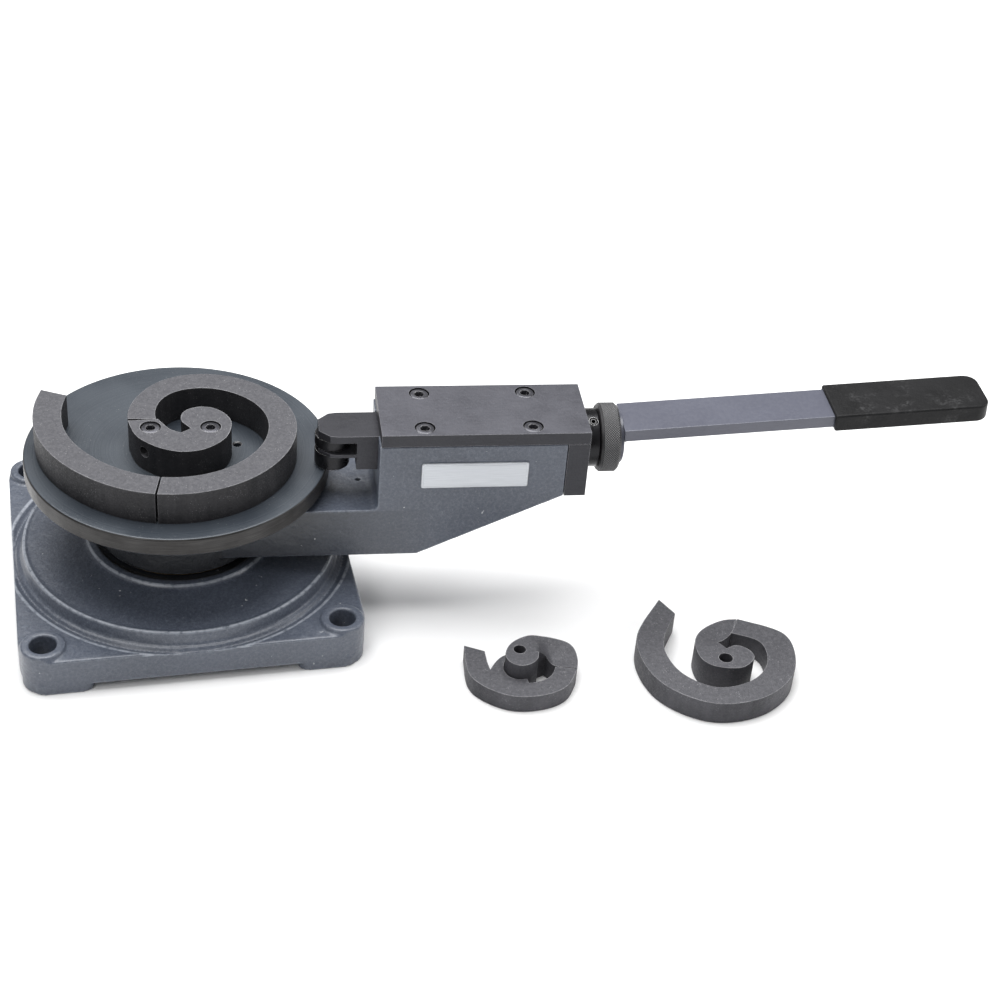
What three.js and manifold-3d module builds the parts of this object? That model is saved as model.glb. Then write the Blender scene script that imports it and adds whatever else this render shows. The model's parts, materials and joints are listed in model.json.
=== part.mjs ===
// Manual scroll bender: a square cast base with a fixed form disc, a swinging arm that carries a
// screw-fed ram with two rollers, a flat lever with a grip, and two loose spare form sets.
// Units are millimetres, +Z is up. The origin is on the spindle axis at the plane of the feet.
import * as THREE from "three";
import { mergeVertices } from "three/addons/utils/BufferGeometryUtils.js";
import Module from "manifold-3d";

const wasm = await Module();
wasm.setup();

// ---------- driving dimensions ----------
const GAP = 0.3; // between pieces that touch
const RUN = 0.12; // radial room of a faceted shaft in its faceted hole

const BASE_SIDE = 240;
const BASE_CORNER_R = 22;
const BASE_PAD_Z = 28.6; // flat corner pads
const FOOT_H = 6.6;
const FOOT_LENGTH = 50;
const FOOT_INSET = 8;
const BOLT_PITCH = 206.6;
const BOLT_HOLE_R = 9;
const BOLT_BOSS_R = 15.4;
const BOLT_BOSS_Z = 31.9;
const BASE_WALL = 12;
const PLATFORM_R = 112;
const PLATFORM_Z = 38;
const COVE_R = 119;
const COVE_Z = 26.5;
const PAD_ARC_R = 124;
const HUB_RING_R = 67;
const HUB_INNER_R = 61.5;
const HUB_Z = 44;

const SPINDLE_R = 32;
const SPINDLE_TAIL_R = 22;
const SPINDLE_TOP = 98.2;
const SPIGOT_R = 12;
const SPIGOT_H = 8;

const DISC_R = 107.4;
const DISC_Z = 98.5;
const DISC_TOP = 114.5;

const FORM_H = 25;
const FORM_BAND = 20; // width of the scroll band
const FORM_TOP = DISC_TOP + FORM_H;
const FORM_START_DEG = 174; // direction of the split between the centre and the middle form
const FORM_SPLIT_DEG = 277.8; // clockwise from the start, split between middle and outer form
const FORM_SPLIT_GAP_DEG = 0.8;
const FORM_END_DEG = 382; // clockwise from the start, end of the tail
// outer radius of the scroll at every eighth of a turn, clockwise from the start
const SCROLL_RADII = [34, 40.4, 55.4, 69.6, 83, 88, 89.8, 91, 99.2, 107];

const ARM_REST_DEG = -5.4;
const ARM_Y = -21.3; // the ram runs beside the spindle, tangent to the forms
const ARM_HALF = 31.2;
const ARM_BOSS_R = 59;
const ARM_BOSS_Z = 46.4;
const ARM_BOSS_TOP = 96;
const BEAM_Z = 55;
const BEAM_TOP = 94.5;
const HOUSING_X = 138.5;
const HOUSING_END = 270.4;
const HOUSING_TOP = 148.3;
const SLOPE_X = 167.3;
const SLOPE_END_Z = 104.3;
const BUSH_R = 37;

const AXIS_Z = 133; // axis of the ram and its feed screw
const RAM_HALF = 15.5;
const RAM_NOSE = 97.6;
const RAM_BACK = 219;
const RAM_Z = 119;
const RAM_TOP = 147;
const EAR_Z = 141.1; // underside of the thick upper ear
const LOWER_EAR = [129, 131.8];
const NOTCH_X = 123.8;
const RAM_BORE_X = 152;

const ROLLER_X = 107.7;
const ROLLER_R = 12.4;
const ROLLER_BORE = 5;
const UPPER_ROLLER = [132.1, 140.8];
const LOWER_ROLLER = [116.2, 128.7];

const COVER_TOP = 158.1;
const COVER_LEFT = 139.5;
const PLATE_X = 270.7;
const PLATE_END = 286;
const COVER_SCREW_X = [170, 246];
const COVER_SCREW_Y = 21.6; // either side of the ram axis
const PLATE_SCREW_Z = [112, 141];
const PLATE_SCREW_Y = 24.4;
const OIL_HOLE = { x: 127.3, y: -14, r: 1.6, depth: 8 };
const BADGE = { x: 205.8, z: 124.3, length: 75.5, height: 20.4, thick: 1.4, cornerR: 1.6 };

const THREAD_R = 10;
const JOURNAL_R = 11.5;
const BUSH_BODY_R = 15;
const COLLAR_R = 21;
const COLLAR_END = 296.3;
const RING_R = 24.8;
const RING_X = [296.7, 310.4];
const RING_CHAMFER = 1.5;
const RING_SEAT_R = 9;
const KEY_HALF = 1.8;
const GRUB_TILT_DEG = 22.4; // the locking grub screw leans this far from the top towards the front

const BAR_WIDTH = 36;
const BAR_THICK = 9.2;
const BAR_ROOT_X = 313.2;
const BAR_ROOT_Z = 145.3;
const BAR_RISE_DEG = 3.74;
const BAR_LENGTH = 261.2;
const GRIP_FROM = 152.2;
const GRIP_LENGTH = 115;
const GRIP_WIDTH = 42;
const GRIP_THICK = 13.4;
const GRIP_CORNER_R = 9;
const GRIP_SQUARE = 20; // length of the grip's square end
const ROOT_PLATE_R = 18.5; // round plate at the lever's root, on the end of the feed screw

const M8 = { head: 6.5, headHeight: 8, shank: 4, hex: 3.45, hexDepth: 4 };
const M6 = { head: 5, headHeight: 6, shank: 3, hex: 2.9, hexDepth: 3 };

// ---------- solids ----------
const FULL = Math.PI * 2;
const rad = THREE.MathUtils.degToRad;

function solid(geometry) {
  const g = geometry.index ? geometry.toNonIndexed() : geometry.clone();
  g.deleteAttribute("normal");
  g.deleteAttribute("uv");
  const merged = mergeVertices(g, 1e-4);
  const triVerts = new Uint32Array(merged.index.array);
  const vertProperties = merged.attributes.position.array;
  const made = new wasm.Manifold(new wasm.Mesh({ numProp: 3, vertProperties, triVerts }));
  if (made.volume() > 0) return made;
  for (let i = 0; i < triVerts.length; i += 3) {
    [triVerts[i + 1], triVerts[i + 2]] = [triVerts[i + 2], triVerts[i + 1]];
  }
  return new wasm.Manifold(new wasm.Mesh({ numProp: 3, vertProperties, triVerts }));
}

function geometryOf(made) {
  const mesh = made.getMesh();
  const position = new Float32Array(mesh.numVert * 3);
  for (let i = 0; i < mesh.numVert; i++) {
    const at = i * mesh.numProp;
    position.set(mesh.vertProperties.subarray(at, at + 3), i * 3);
  }
  const geometry = new THREE.BufferGeometry();
  geometry.setAttribute("position", new THREE.BufferAttribute(position, 3));
  geometry.setIndex(new THREE.BufferAttribute(new Uint32Array(mesh.triVerts), 1));
  return geometry;
}

const join = (first, ...rest) => rest.reduce((a, b) => a.add(b), first);
const cut = (first, ...rest) => rest.reduce((a, b) => a.subtract(b), first);

function block(x, y, z) {
  const g = new THREE.BoxGeometry(x[1] - x[0], y[1] - y[0], z[1] - z[0]);
  g.translate((x[0] + x[1]) / 2, (y[0] + y[1]) / 2, (z[0] + z[1]) / 2);
  return solid(g);
}

// A round bar along Z from z[0] to z[1].
function post(r, z, x = 0, y = 0, sides = 24) {
  const g = new THREE.CylinderGeometry(r, r, z[1] - z[0], sides);
  g.rotateX(Math.PI / 2);
  g.translate(x, y, (z[0] + z[1]) / 2);
  return solid(g);
}

// A round bar along X from x[0] to x[1].
function bar(r, x, y, z, sides = 32) {
  const g = new THREE.CylinderGeometry(r, r, x[1] - x[0], sides);
  g.rotateZ(Math.PI / 2);
  g.translate((x[0] + x[1]) / 2, y, z);
  return solid(g);
}

// A body turned about Z from a list of [radius, height].
function turned(profile, sides = 48) {
  const points = profile.map(([r, z]) => new THREE.Vector2(r, z));
  const g = new THREE.LatheGeometry(points, sides);
  g.rotateX(Math.PI / 2);
  return solid(g);
}

// A body turned about the ram axis from a list of [radius, x].
function turnedX(profile, sides = 32) {
  const points = profile.map(([r, x]) => new THREE.Vector2(r, x));
  const g = new THREE.LatheGeometry(points, sides);
  g.rotateZ(-Math.PI / 2);
  g.translate(0, ARM_Y, AXIS_Z);
  return solid(g);
}

function raised(shape, z, curveSegments = 8) {
  const g = new THREE.ExtrudeGeometry(shape, { depth: z[1] - z[0], bevelEnabled: false, curveSegments });
  g.translate(0, 0, z[0]);
  return solid(g);
}

function roundedRectangle(width, height, r) {
  const [x, y] = [width / 2, height / 2];
  const s = new THREE.Shape();
  s.moveTo(-x + r, -y);
  s.lineTo(x - r, -y).absarc(x - r, -y + r, r, -Math.PI / 2, 0);
  s.lineTo(x, y - r).absarc(x - r, y - r, r, 0, Math.PI / 2);
  s.lineTo(-x + r, y).absarc(-x + r, y - r, r, Math.PI / 2, Math.PI);
  s.lineTo(-x, -y + r).absarc(-x + r, -y + r, r, Math.PI, 1.5 * Math.PI);
  return s;
}

// A socket screw that points down, its head top at the origin.
function socketScrew(size, length) {
  const stem = join(
    post(size.head, [-size.headHeight, 0], 0, 0, 20),
    post(size.shank, [-length, -size.headHeight / 2], 0, 0, 10),
  );
  return cut(stem, post(size.hex, [-size.hexDepth, 1], 0, 0, 6));
}

// The hole that such a screw drops into, its mouth at the origin.
function screwHole(size, length) {
  return join(
    post(size.head + 0.7, [-size.headHeight - GAP, 20], 0, 0, 20),
    post(size.shank + GAP, [-length - 1, 0], 0, 0, 10),
  );
}

const FINISH = {
  hammertone: { color: 0x5a6470, roughness: 0.45, metalness: 0.25 },
  disc: { color: 0x4c565c, roughness: 0.5, metalness: 0.4 },
  form: { color: 0x47464a, roughness: 0.75, metalness: 0.35 },
  oxide: { color: 0x3c3b42, roughness: 0.45, metalness: 0.7 },
  steel: { color: 0x8c9094, roughness: 0.35, metalness: 0.95 },
  bronze: { color: 0xa9834a, roughness: 0.4, metalness: 0.9 },
  lever: { color: 0x6d6f7c, roughness: 0.4, metalness: 0.2 },
  grip: { color: 0x1d1e20, roughness: 0.7, metalness: 0 },
  badge: { color: 0xc4c8cc, roughness: 0.3, metalness: 0.8 },
};

function piece(group, name, finish, made) {
  const mesh = new THREE.Mesh(geometryOf(made), new THREE.MeshStandardMaterial(FINISH[finish]));
  mesh.name = name;
  group.add(mesh);
  return mesh;
}

// ---------- base and spindle ----------
function cornersOf(pitch) {
  const h = pitch / 2;
  return [[-h, -h], [h, -h], [h, h], [-h, h]];
}

function baseCasting() {
  const slab = raised(roundedRectangle(BASE_SIDE, BASE_SIDE, BASE_CORNER_R), [FOOT_H, BASE_PAD_Z], 6);
  const platform = turned([
    [0, FOOT_H + 1],
    [COVE_R, FOOT_H + 1],
    [COVE_R, COVE_Z],
    [PLATFORM_R + 3, COVE_Z + 5],
    [PLATFORM_R, PLATFORM_Z],
    [HUB_RING_R + 2, HUB_Z - 2],
    [HUB_RING_R, HUB_Z],
    [HUB_INNER_R, HUB_Z],
    [HUB_INNER_R - 1, HUB_Z - 1.5],
    [0, HUB_Z - 1.5],
  ]);
  const groove = turned([
    [COVE_R, COVE_Z],
    [PAD_ARC_R, BASE_PAD_Z],
    [PAD_ARC_R, BASE_PAD_Z + 2],
    [COVE_R - 2.8, BASE_PAD_Z + 2],
    [COVE_R, COVE_Z],
  ]);
  const foot = FOOT_LENGTH / 2;
  const footX = BASE_SIDE / 2 - FOOT_INSET - foot + 4;
  const footY = BASE_SIDE / 2 - foot;
  const footShape = roundedRectangle(FOOT_LENGTH - FOOT_INSET, FOOT_LENGTH, 8);
  const feet = cornersOf(2).map(([sx, sy]) =>
    raised(footShape, [0, FOOT_H + 1], 3).translate([sx * footX, sy * footY, 0]),
  );
  const inner = BASE_SIDE - 2 * BASE_WALL;
  const pocket = raised(roundedRectangle(inner, inner, BASE_CORNER_R / 2), [-1, BASE_PAD_Z - 10], 3);
  const deepPocket = turned([[0, -1], [PLATFORM_R - 8, -1], [PLATFORM_R - 8, 28], [0, 30]], 32);
  const hub = post(HUB_RING_R - 22, [0, HUB_Z - 2]);
  const ribs = [0, 90].map((deg) =>
    block([-inner / 2 - 1, inner / 2 + 1], [-4, 4], [FOOT_H, 29]).rotate([0, 0, 45 + deg]),
  );
  const columns = cornersOf(BOLT_PITCH).map(([x, y]) => post(BOLT_BOSS_R, [0, BOLT_BOSS_Z], x, y));
  const holes = cornersOf(BOLT_PITCH).map(([x, y]) => post(BOLT_HOLE_R, [-1, 40], x, y, 24));
  const shell = cut(join(slab, platform), groove, pocket, deepPocket);
  const filled = join(shell, hub, ...ribs, ...feet, ...columns);
  const crossPin = bar(4.1, [-60, 60], 0, 14, 16);
  return cut(filled, ...holes, post(SPINDLE_TAIL_R + RUN, [-1, 60], 0, 0, 48), crossPin);
}

const DISC_SCREWS_DEG = [-105, 15, 135];
const DISC_SCREW_RING = 24;
const polar = (r, deg) => [r * Math.cos(rad(deg)), r * Math.sin(rad(deg))];
const DISC_SCREW_TOP = DISC_TOP - 0.6;
const DISC_SCREW_LENGTH = 34;

function discScrewHoles() {
  return DISC_SCREWS_DEG.map((deg) => {
    const [x, y] = polar(DISC_SCREW_RING, deg);
    return screwHole(M8, DISC_SCREW_LENGTH).translate([x, y, DISC_SCREW_TOP]);
  });
}

function spindle() {
  const body = turned([
    [0, 0],
    [SPINDLE_TAIL_R, 0],
    [SPINDLE_TAIL_R, HUB_Z - 1],
    [SPINDLE_R, HUB_Z - 1],
    [SPINDLE_R, SPINDLE_TOP],
    [SPIGOT_R, SPINDLE_TOP],
    [SPIGOT_R, SPINDLE_TOP + SPIGOT_H],
    [0, SPINDLE_TOP + SPIGOT_H],
  ]);
  return cut(body, bar(4.1, [-30, 30], 0, 14, 16), ...discScrewHoles());
}

// ---------- scroll forms ----------
// The scroll's outer radius, smooth through SCROLL_RADII, at an angle clockwise from the start.
const scrollCurve = new THREE.SplineCurve(SCROLL_RADII.map((r, i) => new THREE.Vector2(45 * i, r)));
function scrollRadius(deg) {
  return scrollCurve.getPoint(deg / (45 * (SCROLL_RADII.length - 1))).y;
}

// Points along the scroll at an offset from its outer edge.
function scrollEdge(fromDeg, toDeg, inset, step = 9) {
  const count = Math.max(2, Math.round(Math.abs(toDeg - fromDeg) / step));
  const points = [];
  for (let i = 0; i <= count; i++) {
    const deg = fromDeg + ((toDeg - fromDeg) * i) / count;
    const [x, y] = polar(scrollRadius(deg) - inset, FORM_START_DEG - deg);
    points.push(new THREE.Vector2(x, y));
  }
  return points;
}

function scrollBand(fromDeg, toDeg) {
  const outer = scrollEdge(fromDeg, toDeg, 0);
  const inner = scrollEdge(toDeg, fromDeg, FORM_BAND);
  const band = raised(new THREE.Shape([...outer, ...inner]), [DISC_TOP + 0.02, FORM_TOP]);
  return cut(band, ...dowelHoles());
}

// The centre form: a comma with a hooked slot that holds the end of the bar.
const CENTER_SPLIT = [[-33.8, 1.8], [-13, 1.2]];
const SLOT = [[-6.2, -11.6], [1.2, -17.4], [8.6, -13], [3.6, -4.8]];
const NOSE = [[2.8, 0.5], [5, 7.5], [11, 12], [19, 13.2]];
const BELLY = [[28, 9.6], [35.4, 0], [37, -12], [31, -27.5], [17.4, -38.3], [3, -40.8]];
const HEEL = [[-9, -37.4], [-20.5, -29.2], [-30, -16.4]];
function centerShape() {
  const v = ([x, y]) => new THREE.Vector2(x, y);
  const s = new THREE.Shape();
  s.moveTo(...CENTER_SPLIT[0]);
  s.lineTo(...CENTER_SPLIT[1]);
  SLOT.forEach((p) => s.lineTo(...p));
  s.splineThru([...NOSE, ...BELLY, ...HEEL, CENTER_SPLIT[0]].map(v));
  return s;
}

const FORM_SCREWS = [[-19, -7.9], [22.3, -12.3]];
const FORM_SCREW_TOP = FORM_TOP - 0.5;
const FORM_SCREW_LENGTH = 36;
const CLAMP_FROM = [-25.4, -24.5]; // the bar clamp screw's axis, from the heel to the slot
const CLAMP_TO = [-1, -10];
const CLAMP_Z = DISC_TOP + 15.5;
const CLAMP_R = 4;
const CLAMP_LENGTH = 20;
const CLAMP_INSET = 8; // the screw's outer end lies this deep in its hole

// A round bar between two points of the clamp's axis, distances counted from CLAMP_FROM.
function clampBar(r, from, to, sides) {
  const dx = CLAMP_TO[0] - CLAMP_FROM[0];
  const dy = CLAMP_TO[1] - CLAMP_FROM[1];
  const turn = THREE.MathUtils.radToDeg(Math.atan2(dy, dx));
  return bar(r, [from, to], 0, 0, sides).rotate([0, 0, turn]).translate([...CLAMP_FROM, CLAMP_Z]);
}

function formCenter() {
  const body = raised(centerShape(), [DISC_TOP + 0.02, FORM_TOP], 4);
  const screwHoles = FORM_SCREWS.map(([x, y]) =>
    screwHole(M8, FORM_SCREW_LENGTH).translate([x, y, FORM_SCREW_TOP]),
  );
  return cut(body, ...screwHoles, clampBar(CLAMP_R + RUN, -8, 30, 16));
}

const DOWEL_R = 3;
const DOWEL_H = 14;
// dowels under the middle and the outer form: angle clockwise from the start
const DOWELS_DEG = [60, 215, 292, 365];
const dowelPlaces = () =>
  DOWELS_DEG.map((deg) => polar(scrollRadius(deg) - FORM_BAND / 2, FORM_START_DEG - deg));
const dowelHoles = () =>
  dowelPlaces().map(([x, y]) => post(DOWEL_R + GAP, [DISC_TOP - 8, DISC_TOP + 7.6], x, y, 16));

const SPARE_HOLE = [42.1, -0.3]; // a free locating hole, for other form sets
function formDisc() {
  const body = turned([
    [0, DISC_Z],
    [DISC_R - 1, DISC_Z],
    [DISC_R, DISC_Z + 1],
    [DISC_R, DISC_TOP - 1],
    [DISC_R - 1, DISC_TOP],
    [0, DISC_TOP],
  ], 64);
  const screwHoles = FORM_SCREWS.map(([x, y]) => post(M8.shank + GAP, [DISC_Z + 2, 120], x, y, 16));
  return cut(
    body,
    post(SPIGOT_R + RUN, [90, SPINDLE_TOP + SPIGOT_H + GAP], 0, 0, 48),
    post(2.6, [DISC_TOP - 8, 120], ...SPARE_HOLE, 16),
    ...screwHoles,
    ...dowelHoles(),
    ...discScrewHoles(),
  );
}

// ---------- arm ----------
const coverScrewPlaces = () =>
  COVER_SCREW_X.flatMap((x) => [-1, 1].map((side) => [x, ARM_Y + side * COVER_SCREW_Y]));
const plateScrewPlaces = () =>
  PLATE_SCREW_Z.flatMap((z) => [-1, 1].map((side) => [ARM_Y + side * PLATE_SCREW_Y, z]));
const COVER_SCREW_LENGTH = 30;
const PLATE_SCREW_LENGTH = 30;
const PLATE_SCREW_X = PLATE_END - 0.4;
const facingX = (made, y, z) => made.rotate([0, 90, 0]).translate([PLATE_SCREW_X, y, z]);

// On its far side the beam widens in a straight line that runs tangent into the boss.
function farWeb() {
  const far = ARM_Y + ARM_HALF;
  const reach = Math.hypot(HOUSING_X, far);
  const tangentAt = Math.atan2(far, HOUSING_X) + Math.acos(ARM_BOSS_R / reach);
  const shape = new THREE.Shape();
  shape.moveTo(0, 0);
  shape.lineTo(HOUSING_X, far - GAP);
  shape.lineTo(HOUSING_X, far);
  shape.lineTo(ARM_BOSS_R * Math.cos(tangentAt), ARM_BOSS_R * Math.sin(tangentAt));
  return raised(shape, [BEAM_Z, BEAM_TOP]);
}

function armCasting() {
  const profile = new THREE.Shape();
  profile.moveTo(0, BEAM_Z);
  profile.lineTo(SLOPE_X, BEAM_Z);
  profile.lineTo(HOUSING_END, SLOPE_END_Z);
  profile.lineTo(HOUSING_END, HOUSING_TOP);
  profile.lineTo(HOUSING_X, HOUSING_TOP);
  profile.lineTo(HOUSING_X, BEAM_TOP + 4);
  profile.lineTo(HOUSING_X - 4, BEAM_TOP);
  profile.lineTo(0, BEAM_TOP);
  const side = raised(profile, [-ARM_HALF, ARM_HALF]).rotate([90, 0, 0]).translate([0, ARM_Y, 0]);
  const boss = post(ARM_BOSS_R, [ARM_BOSS_Z, ARM_BOSS_TOP], 0, 0, 60);
  const bore = post(BUSH_R + RUN, [0, 200], 0, 0, 48);
  const half = RAM_HALF + GAP / 2;
  const channel = block(
    [HOUSING_X - 5, HOUSING_END + 1],
    [ARM_Y - half, ARM_Y + half],
    [RAM_Z - GAP / 2, HOUSING_TOP + 1],
  );
  const coverHoles = coverScrewPlaces().map(([x, y]) =>
    post(M8.shank + GAP, [COVER_TOP - COVER_SCREW_LENGTH - 2, 200], x, y, 16),
  );
  const plateHoles = plateScrewPlaces().map(([y, z]) =>
    bar(M6.shank + GAP, [PLATE_END - PLATE_SCREW_LENGTH - 2, 280], y, z, 16),
  );
  const oilHole = post(OIL_HOLE.r, [BEAM_TOP - OIL_HOLE.depth, BEAM_TOP + 2], OIL_HOLE.x, OIL_HOLE.y, 12);
  return cut(join(side, boss, farWeb()), bore, channel, ...coverHoles, ...plateHoles, oilHole);
}

function slideCover() {
  const plate = block(
    [COVER_LEFT, PLATE_END],
    [ARM_Y - ARM_HALF, ARM_Y + ARM_HALF],
    [HOUSING_TOP + GAP, COVER_TOP],
  );
  const holes = coverScrewPlaces().map(([x, y]) =>
    screwHole(M8, COVER_SCREW_LENGTH).translate([x, y, COVER_TOP - 0.4]),
  );
  return cut(plate, ...holes);
}

function endPlate() {
  const plate = block(
    [PLATE_X, PLATE_END],
    [ARM_Y - ARM_HALF, ARM_Y + ARM_HALF],
    [SLOPE_END_Z, HOUSING_TOP],
  );
  const holes = plateScrewPlaces().map(([y, z]) => facingX(screwHole(M6, PLATE_SCREW_LENGTH), y, z));
  return cut(plate, bar(BUSH_BODY_R + RUN, [260, 300], ARM_Y, AXIS_Z, 40), ...holes);
}

// The locking grub screw's hole and body, along the collar's radius.
const GRUB_X = (PLATE_END + COLLAR_END) / 2 + 0.4;
function grubBar(r, from, to, sides) {
  return post(r, [from, to], 0, 0, sides)
    .rotate([GRUB_TILT_DEG, 0, 0])
    .translate([GRUB_X, ARM_Y, AXIS_Z]);
}

function feedBush() {
  const body = turnedX([
    [JOURNAL_R + RUN, PLATE_X + 0.5],
    [BUSH_BODY_R, PLATE_X + 0.5],
    [BUSH_BODY_R, PLATE_END + 0.1],
    [COLLAR_R, PLATE_END + 0.1],
    [COLLAR_R, COLLAR_END - 1],
    [COLLAR_R - 1, COLLAR_END],
    [JOURNAL_R + RUN, COLLAR_END],
    [JOURNAL_R + RUN, PLATE_X + 0.5],
  ], 40);
  return cut(body, grubBar(3.2, 8, 30, 16));
}

function bushGrubScrew() {
  const body = join(grubBar(2.9, 13, 20.4, 16), grubBar(1.6, 11.4, 14, 12));
  return cut(body, grubBar(1.6, 17.4, 24, 6));
}

function badgePlate() {
  const shape = roundedRectangle(BADGE.length, BADGE.height, BADGE.cornerR);
  const plate = raised(shape, [0, BADGE.thick], 4);
  return plate.rotate([90, 0, 0]).translate([BADGE.x, ARM_Y - ARM_HALF - 0.02, BADGE.z]);
}

// ---------- ram and rollers ----------
function ramBody() {
  const h = RAM_HALF;
  const nose = [[RAM_NOSE, 7.2], [RAM_NOSE + 7.6, h - 1.1], [RAM_NOSE + 13.6, h]];
  const half = [...nose, [RAM_BACK, h]];
  const points = [...half.map(([x, y]) => [x, -y]).reverse(), ...half];
  const outline = new THREE.Shape(points.map(([x, y]) => new THREE.Vector2(x, y + ARM_Y)));
  const body = raised(outline, [RAM_Z, RAM_TOP]);
  const wide = [ARM_Y - h - 5, ARM_Y + h + 5];
  return cut(
    body,
    block([RAM_NOSE - 5, NOTCH_X], wide, [LOWER_EAR[1], EAR_Z]),
    block([RAM_NOSE - 5, NOTCH_X], wide, [RAM_Z - 5, LOWER_EAR[0]]),
    post(ROLLER_BORE + 0.08, [110, 145.4], ROLLER_X, ARM_Y, 24),
    bar(THREAD_R + RUN, [RAM_BORE_X, RAM_BACK + 5], ARM_Y, AXIS_Z),
  );
}

// A roller turned about its own pin, with chamfered edges.
function roller([low, high], counterbore) {
  const c = 0.7;
  const bore = ROLLER_BORE + RUN;
  const made = turned([
    [bore, low],
    [ROLLER_R - c, low],
    [ROLLER_R, low + c],
    [ROLLER_R, high - c],
    [ROLLER_R - c, high],
    [bore, high],
    [bore, low],
  ], 36);
  return counterbore ? cut(made, post(8.3, [low - 1, low + counterbore], 0, 0, 24)) : made;
}

function rollerPin() {
  const low = LOWER_ROLLER[0] + 0.3;
  return turned([[0, low], [8, low], [8, low + 2], [ROLLER_BORE, low + 2], [ROLLER_BORE, 145], [0, 145]], 24);
}

// ---------- feed screw and lever ----------
function feedScrew() {
  const body = turnedX([
    [0, 176],
    [THREAD_R - 1.5, 176],
    [THREAD_R, 178],
    [THREAD_R, 264],
    [JOURNAL_R, 266],
    [JOURNAL_R, GRUB_X - 2],
    [JOURNAL_R - 2, GRUB_X - 2],
    [JOURNAL_R - 2, GRUB_X + 2],
    [JOURNAL_R, GRUB_X + 2],
    [JOURNAL_R, RING_X[0] - 0.1],
    [RING_SEAT_R, RING_X[0] - 0.1],
    [RING_SEAT_R, BAR_ROOT_X - 0.4],
    [0, BAR_ROOT_X - 0.4],
  ]);
  return cut(body, ringKeyway());
}

function ringKeyway() {
  return block(
    [RING_X[0] + 2, RING_X[1] - 2],
    [ARM_Y - KEY_HALF - 0.2, ARM_Y + KEY_HALF + 0.2],
    [AXIS_Z - RING_SEAT_R - 2, AXIS_Z - RING_SEAT_R + 2.5],
  );
}

function ringKey() {
  return block(
    [RING_X[0] + 2.3, RING_X[1] - 2.3],
    [ARM_Y - KEY_HALF, ARM_Y + KEY_HALF],
    [AXIS_Z - RING_SEAT_R - 1.7, AXIS_Z - RING_SEAT_R + 2.2],
  );
}

function knurledRing() {
  const c = RING_CHAMFER;
  const body = turnedX([
    [RING_SEAT_R + RUN, RING_X[0]],
    [RING_R - c, RING_X[0]],
    [RING_R, RING_X[0] + c],
    [RING_R, RING_X[1] - c],
    [RING_R - c, RING_X[1]],
    [RING_SEAT_R + RUN, RING_X[1]],
    [RING_SEAT_R + RUN, RING_X[0]],
  ], 48);
  return cut(body, ringKeyway());
}

// Puts a flat plate, drawn with its root at the origin and its length along X, on the lever's line.
function onLever(made) {
  return made.rotate([0, -BAR_RISE_DEG, 0]).translate([BAR_ROOT_X, ARM_Y, BAR_ROOT_Z]);
}

function plateAlongX(x, width, thick, r) {
  const length = x[1] - x[0];
  const shape = roundedRectangle(length, width, r);
  return raised(shape, [-thick / 2, thick / 2], 6).translate([x[0] + length / 2, 0, 0]);
}

const about = (half) => [-half, half];

function handleBar() {
  const flat = onLever(block([0, BAR_LENGTH], about(BAR_WIDTH / 2), about(BAR_THICK / 2)));
  const root = cut(
    bar(ROOT_PLATE_R, [RING_X[1] + GAP, BAR_ROOT_X + 0.6], ARM_Y, AXIS_Z),
    bar(RING_SEAT_R + RUN, [300, BAR_ROOT_X - 0.1], ARM_Y, AXIS_Z),
  );
  return join(root, flat);
}

function handleGrip() {
  const x = [GRIP_FROM, GRIP_FROM + GRIP_LENGTH];
  const sleeve = plateAlongX(x, GRIP_WIDTH, GRIP_THICK, GRIP_CORNER_R);
  const square = block([x[0], x[0] + GRIP_SQUARE], about(GRIP_WIDTH / 2), about(GRIP_THICK / 2));
  const hollow = block(
    [GRIP_FROM - 1, BAR_LENGTH + GAP],
    about(BAR_WIDTH / 2 + GAP),
    about(BAR_THICK / 2 + GAP),
  );
  return onLever(cut(join(sleeve, square), hollow));
}

// ---------- loose spare forms ----------
// A spare set is a low ring and a centre whose top climbs from the ring's height to the hook.
// Radii are at even angles about the set's own centre.
function radialEdge(radii, fromDeg, stepDeg) {
  const points = radii.map((r, i) => new THREE.Vector2(...polar(r, fromDeg + i * stepDeg)));
  return new THREE.SplineCurve(points).getPoints(radii.length * 3);
}

function spareRing(spec) {
  const step = -spec.sweepDeg / (spec.outer.length - 1);
  const outer = radialEdge(spec.outer, spec.splitDeg, step);
  const inner = radialEdge(spec.inner, spec.splitDeg, step).reverse();
  const band = raised(new THREE.Shape([...outer, ...inner]), [0, spec.height]);
  if (!spec.tongue) return band;
  const tongue = new THREE.Shape(spec.tongue.map((p) => new THREE.Vector2(...p)));
  return join(band, raised(tongue, [0, spec.height]));
}

function spareCenter(spec) {
  const s = new THREE.Shape();
  s.moveTo(...spec.corners[0]);
  spec.corners.slice(1).forEach((p) => s.lineTo(...p));
  s.splineThru(spec.round.map((p) => new THREE.Vector2(...p)));
  const body = raised(s, [0, spec.centerHeight], 4);
  // everything above the climbing top
  const above = block([-150, 150], [-150, 150], [0, 100])
    .rotate([0, -spec.climbDeg, 0])
    .rotate([0, 0, spec.climbTowardsDeg])
    .translate([...polar(spec.climbFrom, spec.splitDeg), spec.height]);
  return cut(body, above, post(spec.holeR, [-1, 60], ...spec.hole, 20));
}

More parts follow.
